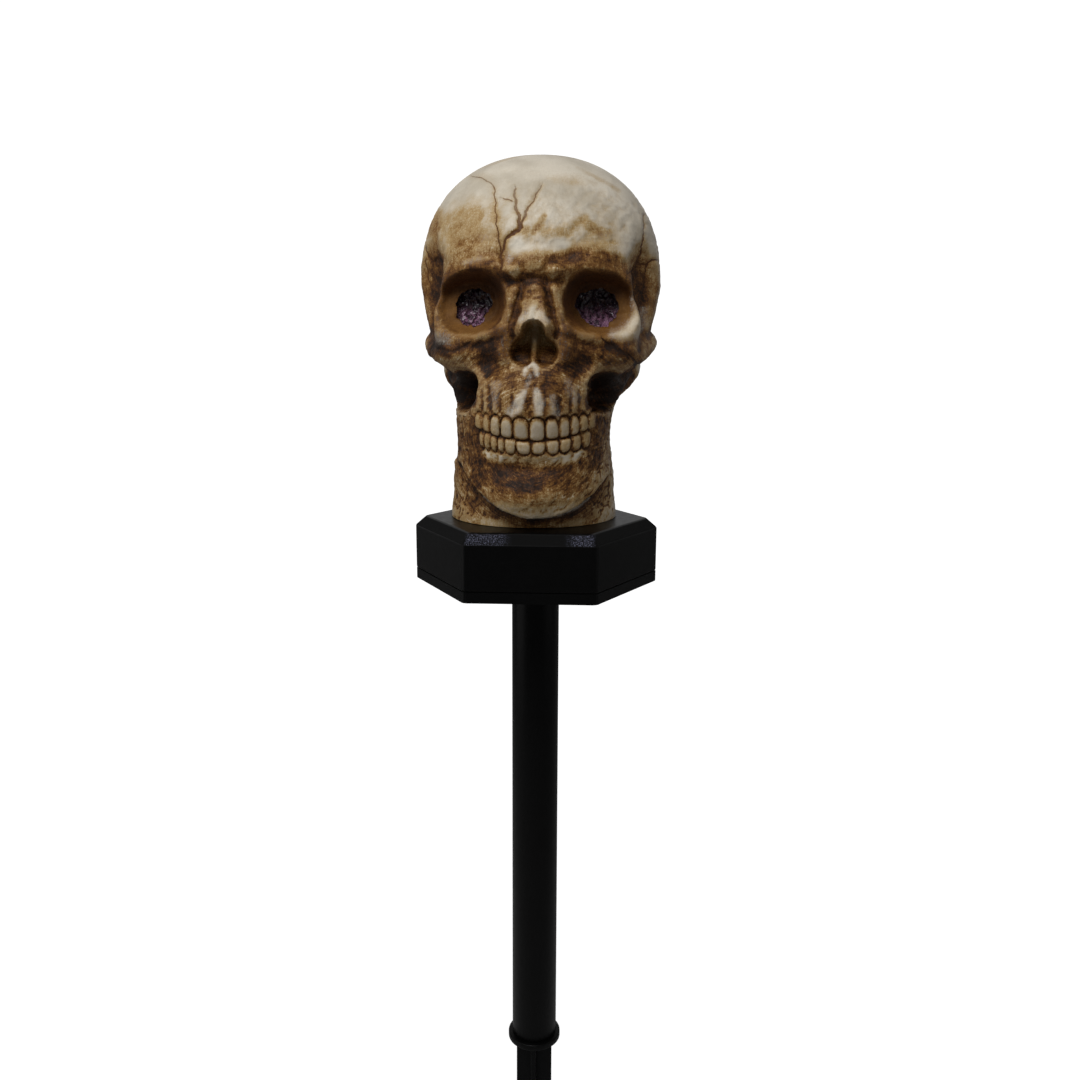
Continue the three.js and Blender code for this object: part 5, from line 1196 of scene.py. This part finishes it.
# Corners of the ragged eye holes, across and up from the skull's foot, anticlockwise from the front
EYE_HOLES = [
    [(-31, 96), (-25.2, 96.8), (-22.6, 102), (-19.2, 106.5), (-20, 111), (-26, 114), (-32, 113.4), (-36.4, 108.5),
     (-36.5, 101)],
    [(28, 96.2), (34, 96.6), (39, 99.6), (40.4, 106.5), (38.4, 111.6), (31, 114.4), (22.4, 111.8), (19.6, 106.5),
     (22.6, 101.5), (26.6, 98.4)],
]
# The depth at which the holes start to widen, their usual radius and how far in front of the lens they start
HOLE_THROAT = -31.0
HOLE_RADIUS = 13
HOLE_FRONT = 22
EYE_TUBE_WALL, EYE_TUBE_LENGTH = 2.1, 17
BOSS_RADIUS, BOSS_HEIGHT = 5, 15
PILOT_RADIUS, PILOT_DEPTH, PILOT_SIDES = 1.55, 9, 16
RECESS_BELOW, RECESS_ABOVE = -5, 14
CUT = 1
HIDDEN_WASH = 0.9
HANDS = (-1, 1)
SLOPE_AXES = np.array([
    (1, 0, 0),
    (0, math.sin(PANEL_TILT), -math.cos(PANEL_TILT)),
    (0, math.cos(PANEL_TILT), math.sin(PANEL_TILT)),
])


def ragged_hole(corners, front, back):
    """A cutter along Y, wider at the back.

    The softened outline moves in and out by 0.3 sin(5a) + 0.3 sin(11a) + 0.2 sin(19a) mm, twice as much below.
    """
    flat = softened(np.array(corners), 3, 14, True)
    middle = flat.mean(0)
    angle = np.arctan2(*(flat - middle).T[::-1])[:, None]
    ragged = 0.3 * np.sin(5 * angle + 1) + 0.3 * np.sin(11 * angle) + 0.2 * np.sin(19 * angle + 1)
    rough = 1 + ragged * (1 + fade(np.sin(angle), 0.2, -0.6)) / HOLE_RADIUS
    rings = [np.hstack([middle + (flat - middle) * rough * grow, np.full((len(flat), 1), depth)])
             for grow, depth in ((1.0, front), (1.02, HOLE_THROAT), (1.1, back))]
    return along_y(ring_form(np.array(rings)), 0, SKULL_FOOT)


def round_bar(radius, low, high, x, y, sides=32):
    """An upright bar."""
    return turned([(radius, low), (radius, high)], sides).placed(origin=(x, y, 0))


def along_y(form, x, z, y=0):
    """A form drawn about its third axis, laid so that this axis runs back along Y."""
    return form.placed([(1, 0, 0), (0, 0, 1), (0, 1, 0)], (x, y, z))


def eye_bars(radius, low, high):
    """A bar along Y behind each eye."""
    return [along_y(turned([(radius, low), (radius, high)]), hand * EYE_X, EYE_Z) for hand in HANDS]


def screw_places(kind):
    """Where the three screws of a kind stand, seen from above."""
    return [node_middle(f"{kind}_{k}")[:2] for k in (1, 2, 3)]


def paint_hole_edges(mesh):
    """Gives the points round the eye holes the socket's paint, because a cut leaves its new points bare."""
    places = np.empty(len(mesh.vertices) * 3, np.float32)
    mesh.vertices.foreach_get("co", places)
    x, y, z = places.reshape(-1, 3).T / MM
    around = (np.hypot(np.abs(x) - EYE_X, z - EYE_Z) < LENS_RADIUS + 3) & (y < LENS_LOW[1] + 2)
    for name, amount in (("wash", 0.85), ("socket", 0.9)):
        layer = mesh.attributes[name].data
        values = np.empty(len(layer), np.float32)
        layer.foreach_get("value", values)
        layer.foreach_set("value", np.where(around & (values < 0.5), np.float32(amount), values))


class SKULLLIGHT_OT_skull(bpy.types.Operator):
    """Make the hollow skull moulding with its teeth, cracks, eye holes and panel recess"""
    bl_idname = "skull_light.skull"
    bl_label = "Skull"

    def execute(self, context):
        form, paint = skull_outside()
        mesh = filled_mesh("skull", form)
        for name, amount in paint.items():
            layer = mesh.attributes.new(name, "FLOAT", "POINT")
            values = np.concatenate([amount.ravel(), [amount[0].mean(), amount[-1].mean()]])
            layer.data.foreach_set("value", values.astype(np.float32))
        piece = new_object("skull", mesh)
        worked(piece, "DIFFERENCE", skull_cavity(context.scene.skull_light_skull.wall))
        seat = LENS_LOW[1] - GAP
        bore = LENS_RADIUS + GAP
        places = screw_places("skull_screw")
        tubes = eye_bars(bore + EYE_TUBE_WALL, seat - CUT, seat + EYE_TUBE_LENGTH)
        bosses = [round_bar(BOSS_RADIUS, SKULL_FOOT, SKULL_FOOT + BOSS_HEIGHT, *place) for place in places]
        worked(piece, "UNION", together(tubes + bosses), HIDDEN_WASH)
        pilots = [round_bar(PILOT_RADIUS, SKULL_FOOT - CUT, SKULL_FOOT + PILOT_DEPTH, *place, PILOT_SIDES)
                  for place in places]
        low, high = node_box("panel_frame")
        half = (high[0] - low[0]) / 2 + GAP
        recess = soft_block(rectangle(half, half), 1.0, [(0, RECESS_BELOW), (0, RECESS_ABOVE)])
        worked(piece, "DIFFERENCE", together(pilots + [recess.placed(SLOPE_AXES, node_middle("panel_frame"))]))
        worked(piece, "DIFFERENCE", together(eye_bars(bore, seat, seat + EYE_TUBE_LENGTH + 2 * CUT)), HIDDEN_WASH)
        holes = [ragged_hole(corners, seat - HOLE_FRONT, seat + CUT) for corners in EYE_HOLES]
        worked(piece, "DIFFERENCE", together(holes), HIDDEN_WASH)
        paint_hole_edges(piece.data)
        finish_piece(piece, "head", "bone_resin", ["skull_shell"], 50)
        return {"FINISHED"}


class SKULLLIGHT_OT_eyes(bpy.types.Operator):
    """Make the two crumpled purple lenses"""
    bl_idname = "skull_light.eyes"
    bl_label = "Eye lenses"

    def execute(self, context):
        for name, hand in zip(("eye_lens_left", "eye_lens_right"), HANDS):
            low, high = node_box(name)
            x, _, z = node_middle(name)
            form = along_y(self.crumpled(LENS_RADIUS, high[1] - low[1], hand), x, z, low[1])
            make_piece("crumpled_" + name, form, "head", "lens_purple", [name], 25)
        return {"FINISHED"}

    def crumpled(self, radius, depth, hand):
        """A disc whose front is pressed in by 0.65 |long uneven waves| + 0.35 |short ones|, and flat at the rim."""
        share = np.sin(np.linspace(0.02, 1, 60) * math.pi / 2)
        angle = np.arange(140) * 2 * math.pi / 140
        a = radius * share[:, None] * np.cos(angle)
        b = radius * share[:, None] * np.sin(angle)
        place = np.stack([a, b, 0 * a + 9 * hand], -1)
        folds = 0.65 * np.abs(ripples(place, 11)) + 0.35 * np.abs(ripples(place, 5))
        height = 0.3 + (depth - 1.2) * np.clip(folds, 0, 1) * fade(share, 1.0, 0.85)[:, None]
        front = np.stack([a, b, height], -1)
        back = np.stack([a, b, np.full(a.shape, depth)], -1)[::-1]
        return ring_form(np.concatenate([front, back]))


class SKULLLIGHT_OT_housing(bpy.types.Operator):
    """Make the six-sided base housing with softened edges"""
    bl_idname = "skull_light.housing"
    bl_label = "Base housing"

    def execute(self, context):
        low, high = HOUSING_LOW[2], HOUSING_HIGH[2]
        chamfer, wall, slope, rounding = HOUSING_CHAMFER, 2.4, 1.0, 0.7
        skirt_inset, skirt_top = 0.9, 3
        post_radius, top_hole = 4.15, 6
        cable_hole = (18, -14)
        angle = np.arange(6) * math.pi / 3
        corners = BASE_CORNER_RADIUS * np.stack([np.cos(angle), np.sin(angle)], -1)
        profile = [(20, low), (0, low), (0, high - chamfer), (chamfer, high), (20, high)]
        piece = new_piece("housing", soft_block(corners, 3.0, softened(profile, rounding, 5), 9))
        skirt = [(skirt_inset, low - 0.9 * GAP), (skirt_inset, low + skirt_top)]
        worked(piece, "UNION", soft_block(corners, 2.0, skirt, 3))
        inside = [(wall, low - CUT), (wall, high - chamfer - wall), (chamfer + wall - slope, high - wall)]
        worked(piece, "DIFFERENCE", soft_block(corners, 1.0, inside, 3))
        covers = screw_places("cover_screw")
        worked(piece, "UNION", together([round_bar(post_radius, low, high - chamfer, *place) for place in covers]))
        above, below = (high - top_hole, high + CUT), (low - CUT, low + PILOT_DEPTH)
        holes = [round_bar(PILOT_RADIUS, *above, *place, PILOT_SIDES) for place in screw_places("skull_screw")]
        holes += [round_bar(PILOT_RADIUS, *below, *place, PILOT_SIDES) for place in covers]
        holes.append(round_bar(6, *above, *cable_hole))
        worked(piece, "DIFFERENCE", together(holes))
        finish_piece(piece, "head", "black_plastic", ["base_housing"], 32)
        piece.modifiers.new("Even shading", "WEIGHTED_NORMAL").keep_sharp = True
        return {"FINISHED"}


class SKULLLIGHT_OT_pole(bpy.types.Operator):
    """Make the round pole"""
    bl_idname = "skull_light.pole"
    bl_label = "Pole"

    def execute(self, context):
        inner, outer = TUBE_RADIUS - TUBE_WALL, TUBE_RADIUS
        low, high = TUBE_LOW[2], TUBE_HIGH[2]
        profile = softened([(outer, low), (outer, high), (inner, high), (inner, low)], 0.35, 4, True)
        make_piece("pole", turned(profile, 128, True), "pole", "black_plastic", ["pole_tube"])
        return {"FINISHED"}


class SKULLLIGHT_OT_spike(bpy.types.Operator):
    """Make the ground spike: plug, flange, collar and two crossed fins"""
    bl_idname = "skull_light.spike"
    bl_label = "Ground spike"

    def execute(self, context):
        low, high = node_box("ground_spike")
        flange, plug, hollow, thick, collar, collar_foot, axis = high[0], 11.2, 9.4, 3.5, 10.6, -2.5, 0.01
        profile = [(axis, collar_foot), (collar, collar_foot), (collar, 0), (flange, 0), (flange, thick),
                   (plug, thick), (plug, high[2]), (hollow, high[2]), (hollow, thick), (axis, thick)]
        piece = new_piece("spike", turned(softened(profile, 0.6, 4), 128))
        half, tip, top, straight, thickness = 10.1, 1.2, -1.5, -112, 2.6
        outline = [(half, top), (-half, top), (-half, straight), (-tip, low[2]), (tip, low[2]), (half, straight)]
        edge = softened([(1.0, -thickness / 2), (0, -thickness / 2), (0, thickness / 2), (1.0, thickness / 2)], 0.5)
        fin = soft_block(outline, 0.6, edge)
        for axes in ([(1, 0, 0), (0, 0, 1), (0, -1, 0)], [(0, 1, 0), (0, 0, 1), (1, 0, 0)]):
            worked(piece, "UNION", fin.placed(axes))
        finish_piece(piece, "spike", "black_plastic", ["ground_spike"], 35)
        return {"FINISHED"}


class SKULLLIGHT_OT_panel(bpy.types.Operator):
    """Make the solar panel and its frame with softened edges"""
    bl_idname = "skull_light.panel"
    bl_label = "Solar panel"

    def execute(self, context):
        for node, slot, rounding in (("panel_frame", "black_plastic", 1.2), ("solar_panel", "panel_cells", 0.6)):
            low, high = node_box(node)
            half = (high[0] - low[0]) / 2
            top = ((high[2] - low[2]) - 2 * half * math.cos(PANEL_TILT)) / math.sin(PANEL_TILT) / 2
            if node == "panel_frame":
                lip, step, ledge = 3.2, 1.9, top - 2.4
                ring = [(0, -top), (0, top), (lip, top), (lip, ledge), (lip + step, ledge), (lip + step, -top)]
                form = soft_block(rectangle(half, half), rounding, softened(ring, 0.4, 4, True), 6, True)
            else:
                profile = softened([(6, -top), (0, -top), (0, top), (6, top)], 0.4)
                form = soft_block(rectangle(half, half), rounding, profile)
            make_piece("fine_" + node, form.placed(SLOPE_AXES, node_middle(node)), "head", slot, [node], 35)
        return {"FINISHED"}


class SKULLLIGHT_OT_screws(bpy.types.Operator):
    """Make the cross-headed screws"""
    bl_idname = "skull_light.screws"
    bl_label = "Screws"

    def execute(self, context):
        for name in [node for node in frame["nodes"] if "_screw" in node]:
            low, high = node_box(name)
            length = high[2] - low[2]
            head = (high[0] - low[0]) / 2
            tall = min(1.6, head * 0.68, length * 0.3)
            shaft = head * 0.48
            cup = [(0.01, 0.0), (head * 0.6, 0.05), (head * 0.9, tall * 0.3), (head, tall * 0.75), (head, tall),
                   (shaft, tall), (shaft, length - 1), (shaft * 0.3, length), (0.01, length)]
            piece = new_piece("fine_" + name, turned(softened(cup, 0.12, 3), 40))
            arm, slot = head * 0.6, head * 0.16
            for pair in ((arm, slot), (slot, arm)):
                cut = soft_block(rectangle(*pair), 0.05, [(0, -1), (0, tall * 0.45), (0.12, tall * 0.6)])
                worked(piece, "DIFFERENCE", cut)
            down = name.startswith("board")
            turn = Matrix.Rotation(math.pi if down else 0, 4, "X")
            x, y, _ = node_middle(name)
            piece.data.transform(Matrix.Translation(Vector((x, y, high[2] if down else low[2])) * MM) @ turn)
            body = frame["nodes"][name]["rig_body"]
            finish_piece(piece, body, "screw_steel", [name], 35)
        return {"FINISHED"}


class SKULLLIGHT_OT_switch(bpy.types.Operator):
    """Make the ribbed slider of the switch"""
    bl_idname = "skull_light.switch"
    bl_label = "Switch slider"

    def execute(self, context):
        low, high = node_box("switch_slider")
        piece = new_piece("slider", soft_box(low, high, 0.2))
        groove_half, groove_depth, step = 0.22, 0.5, 0.9
        grooves = [soft_box((x - groove_half, low[1] - CUT, low[2] - CUT),
                            (x + groove_half, high[1] + CUT, low[2] + groove_depth), 0.1)
                   for x in node_middle("switch_slider")[0] + np.array([-step, 0, step])]
        worked(piece, "DIFFERENCE", together(grooves))
        finish_piece(piece, "switch", "white_plastic", ["switch_slider"], 35)
        return {"FINISHED"}


NODE_FINISHES = {
    "base_cover": "black_plastic", "battery_door": "black_plastic", "lamp_holder_left": "black_plastic",
    "lamp_holder_right": "black_plastic", "circuit_board": "board_green", "control_chip": "chip_black",
    "charging_coil": "coil_brown", "cable_connector": "white_plastic", "switch_body": "switch_case",
    "battery": "cell_wrap", "battery_spring": "spring_steel", "battery_contact": "contact_brass",
    "eye_lamp_left": "lamp_clear", "eye_lamp_right": "lamp_clear", "panel_gasket": "gasket_rubber",
    "lamp_cable_left": "cable_red", "lamp_cable_right": "cable_red", "panel_cable": "cable_black",
}


class SKULLLIGHT_OT_finishes(bpy.types.Operator):
    """Give the measured pieces that stay their finishes"""
    bl_idname = "skull_light.finishes"
    bl_label = "Finishes"

    def execute(self, context):
        for node, slot in NODE_FINISHES.items():
            for place in frame["nodes"][node].material_slots:
                place.material = finish(slot)
        return {"FINISHED"}


# The camera, from the photograph's own perspective, in millimetres
CAMERA_PLACE = (27.0, -516.94, 391.86)
CAMERA_DOWN = math.radians(10.835)
CAMERA_TURN = math.radians(2.737)
CAMERA_ROLL = math.radians(0.218)
FOCAL_LENGTH = 33.32
SENSOR_WIDTH = 36
# Lamps: name, which is also the setting that gives the power, place and size in millimetres, and what they aim at
LAMPS = [("key", (-240, -640, 1110), 560), ("fill", (760, -260, 480), 600), ("side", (-900, -260, 420), 800)]
LAMP_AIM = (0, 0, 380)
# The floor's half width, the backdrop's bend and place, and the gap below the spike
FLOOR_REACH, FLOOR_BEND, FLOOR_BACK, FLOOR_GAP = 3500, 900, 2600, 2


class SKULLLIGHT_OT_stage(bpy.types.Operator):
    """Make the floor, the light and the camera"""
    bl_idname = "skull_light.stage"
    bl_label = "Stage"

    def execute(self, context):
        scene = context.scene
        settings = scene.skull_light_stage
        scene.view_settings.view_transform = "Standard"
        self.floor(settings)
        self.sky(scene, settings)
        for name, place, size in LAMPS:
            lamp = bpy.data.lights.new(name, "AREA")
            lamp.energy = getattr(settings, name)
            lamp.size = size * MM
            turn = (Vector(LAMP_AIM) - Vector(place)).to_track_quat("-Z", "Y").to_matrix()
            new_object(name, lamp).matrix_world = Matrix.Translation(Vector(place) * MM) @ turn.to_4x4()
        camera = bpy.data.cameras.new("camera")
        camera.sensor_width = SENSOR_WIDTH
        camera.lens = FOCAL_LENGTH
        made = new_object("camera", camera)
        ahead = Vector((math.sin(-CAMERA_TURN) * math.cos(CAMERA_DOWN), math.cos(CAMERA_TURN) * math.cos(CAMERA_DOWN),
                        -math.sin(CAMERA_DOWN)))
        look = (-ahead).to_track_quat("Z", "Y").to_matrix() @ Matrix.Rotation(CAMERA_ROLL, 3, "Z")
        made.matrix_world = Matrix.Translation(Vector(CAMERA_PLACE) * MM) @ look.to_4x4()
        scene.camera = made
        return {"FINISHED"}

    def floor(self, settings):
        """A floor that sweeps up into a backdrop: flat, then a quarter circle, then upright."""
        low = CAD_BOX[0][2] / MM - FLOOR_GAP
        bend = np.linspace(0, math.pi / 2, 24)
        curve = FLOOR_BACK - FLOOR_BEND + FLOOR_BEND * np.sin(bend)
        depth = np.concatenate([[-FLOOR_REACH], curve, [FLOOR_BACK]])
        rise = np.concatenate([[low], low + FLOOR_BEND * (1 - np.cos(bend)), [low + FLOOR_REACH]])
        side = np.array([-FLOOR_REACH, FLOOR_REACH])
        grid = np.stack(np.broadcast_arrays(side[None], depth[:, None], rise[:, None]), -1).astype(float)
        row = np.arange(len(depth) - 1) * 2
        quads = np.stack([row, row + 1, row + 3, row + 2], -1)
        made = new_piece("floor", Form(grid, quads, []))
        made.data.polygons.foreach_set("use_smooth", np.ones(len(quads), bool))
        recipe = Recipe("floor")
        tone = tuple(settings.floor)
        recipe.set(
            Base_Color=recipe.mix(recipe.noise(60, 3).ramp(0.3, 0.7), tone, tinted(tone, 0.99)), Roughness=0.9,
            Emission_Color=(1.0, 1.0, 1.0), Emission_Strength=self.seen_rays(recipe))
        made.data.materials.append(recipe.material)

    def seen_rays(self, recipe):
        """White on rays from the camera and through glass, and weaker on glossy rays that meet the upright part.

        Under the object it is a little less than white, and the lamps make up the rest, so that a shadow still shows.
        """
        rays = recipe.node("LightPath").outputs
        floor = CAD_BOX[0][2] / MM
        upright = recipe.axis("Z").ramp(floor + 40, floor + 400, 0, 0.4)
        across, along = recipe.axis("X"), recipe.axis("Y")
        reach = recipe.sum("SQRT", across * across + along * along)
        seen = recipe.sum("MAXIMUM", rays["Is Camera Ray"], rays["Is Transmission Ray"])
        return (seen * reach.ramp(250, 1000, 0.82, 1.0)).most(upright * rays["Is Glossy Ray"])

    def sky(self, scene, settings):
        """Even white light of the set strength, seen as plain white by the camera."""
        world = bpy.data.worlds.new("sky")
        scene.world = world
        world.use_nodes = True
        background = world.node_tree.nodes["Background"]
        background.inputs["Color"].default_value = (1, 1, 1, 1)
        path = world.node_tree.nodes.new("ShaderNodeLightPath")
        strength = world.node_tree.nodes.new("ShaderNodeMath")
        strength.operation = "MAXIMUM"
        strength.inputs[1].default_value = settings.sky
        world.node_tree.links.new(path.outputs["Is Camera Ray"], strength.inputs[0])
        world.node_tree.links.new(strength.outputs[0], background.inputs["Strength"])


GROUPS = {
    "skull_light_skull": SkullSizes,
    "skull_light_bone": BoneColours,
    "skull_light_plastic": PlasticColours,
    "skull_light_stage": StageSettings,
}
OPERATORS = [
    SKULLLIGHT_OT_stage, SKULLLIGHT_OT_skull, SKULLLIGHT_OT_eyes, SKULLLIGHT_OT_housing, SKULLLIGHT_OT_pole,
    SKULLLIGHT_OT_spike, SKULLLIGHT_OT_panel, SKULLLIGHT_OT_screws, SKULLLIGHT_OT_switch, SKULLLIGHT_OT_finishes,
]


class SKULLLIGHT_PT_pieces(bpy.types.Panel):
    """The skull light's pieces and settings"""
    bl_idname = "SKULLLIGHT_PT_pieces"
    bl_label = "Skull light"
    bl_space_type = "VIEW_3D"
    bl_region_type = "UI"
    bl_category = "Skull light"

    def draw(self, context):
        layout = self.layout
        for operator in OPERATORS:
            layout.operator(operator.bl_idname)
        for name, group in GROUPS.items():
            box = layout.box()
            for setting in group.__annotations__:
                box.prop(getattr(context.scene, name), setting)


def register():
    for group in GROUPS.values():
        bpy.utils.register_class(group)
    for operator in OPERATORS:
        bpy.utils.register_class(operator)
    bpy.utils.register_class(SKULLLIGHT_PT_pieces)
    for name, group in GROUPS.items():
        setattr(bpy.types.Scene, name, bpy.props.PointerProperty(type=group))


def unregister():
    for name in GROUPS:
        delattr(bpy.types.Scene, name)
    bpy.utils.unregister_class(SKULLLIGHT_PT_pieces)
    for operator in reversed(OPERATORS):
        bpy.utils.unregister_class(operator)
    for group in reversed(GROUPS.values()):
        bpy.utils.unregister_class(group)


def plain(box):
    """A box as plain lists of numbers."""
    return [[float(value) for value in corner] for corner in box]


def main():
    """Makes every piece in order."""
    register()
    for operator in OPERATORS:
        group, name = operator.bl_idname.split(".")
        getattr(getattr(bpy.ops, group), name)()
    bpy.context.view_layer.update()


if __name__ == "__main__":
    main()
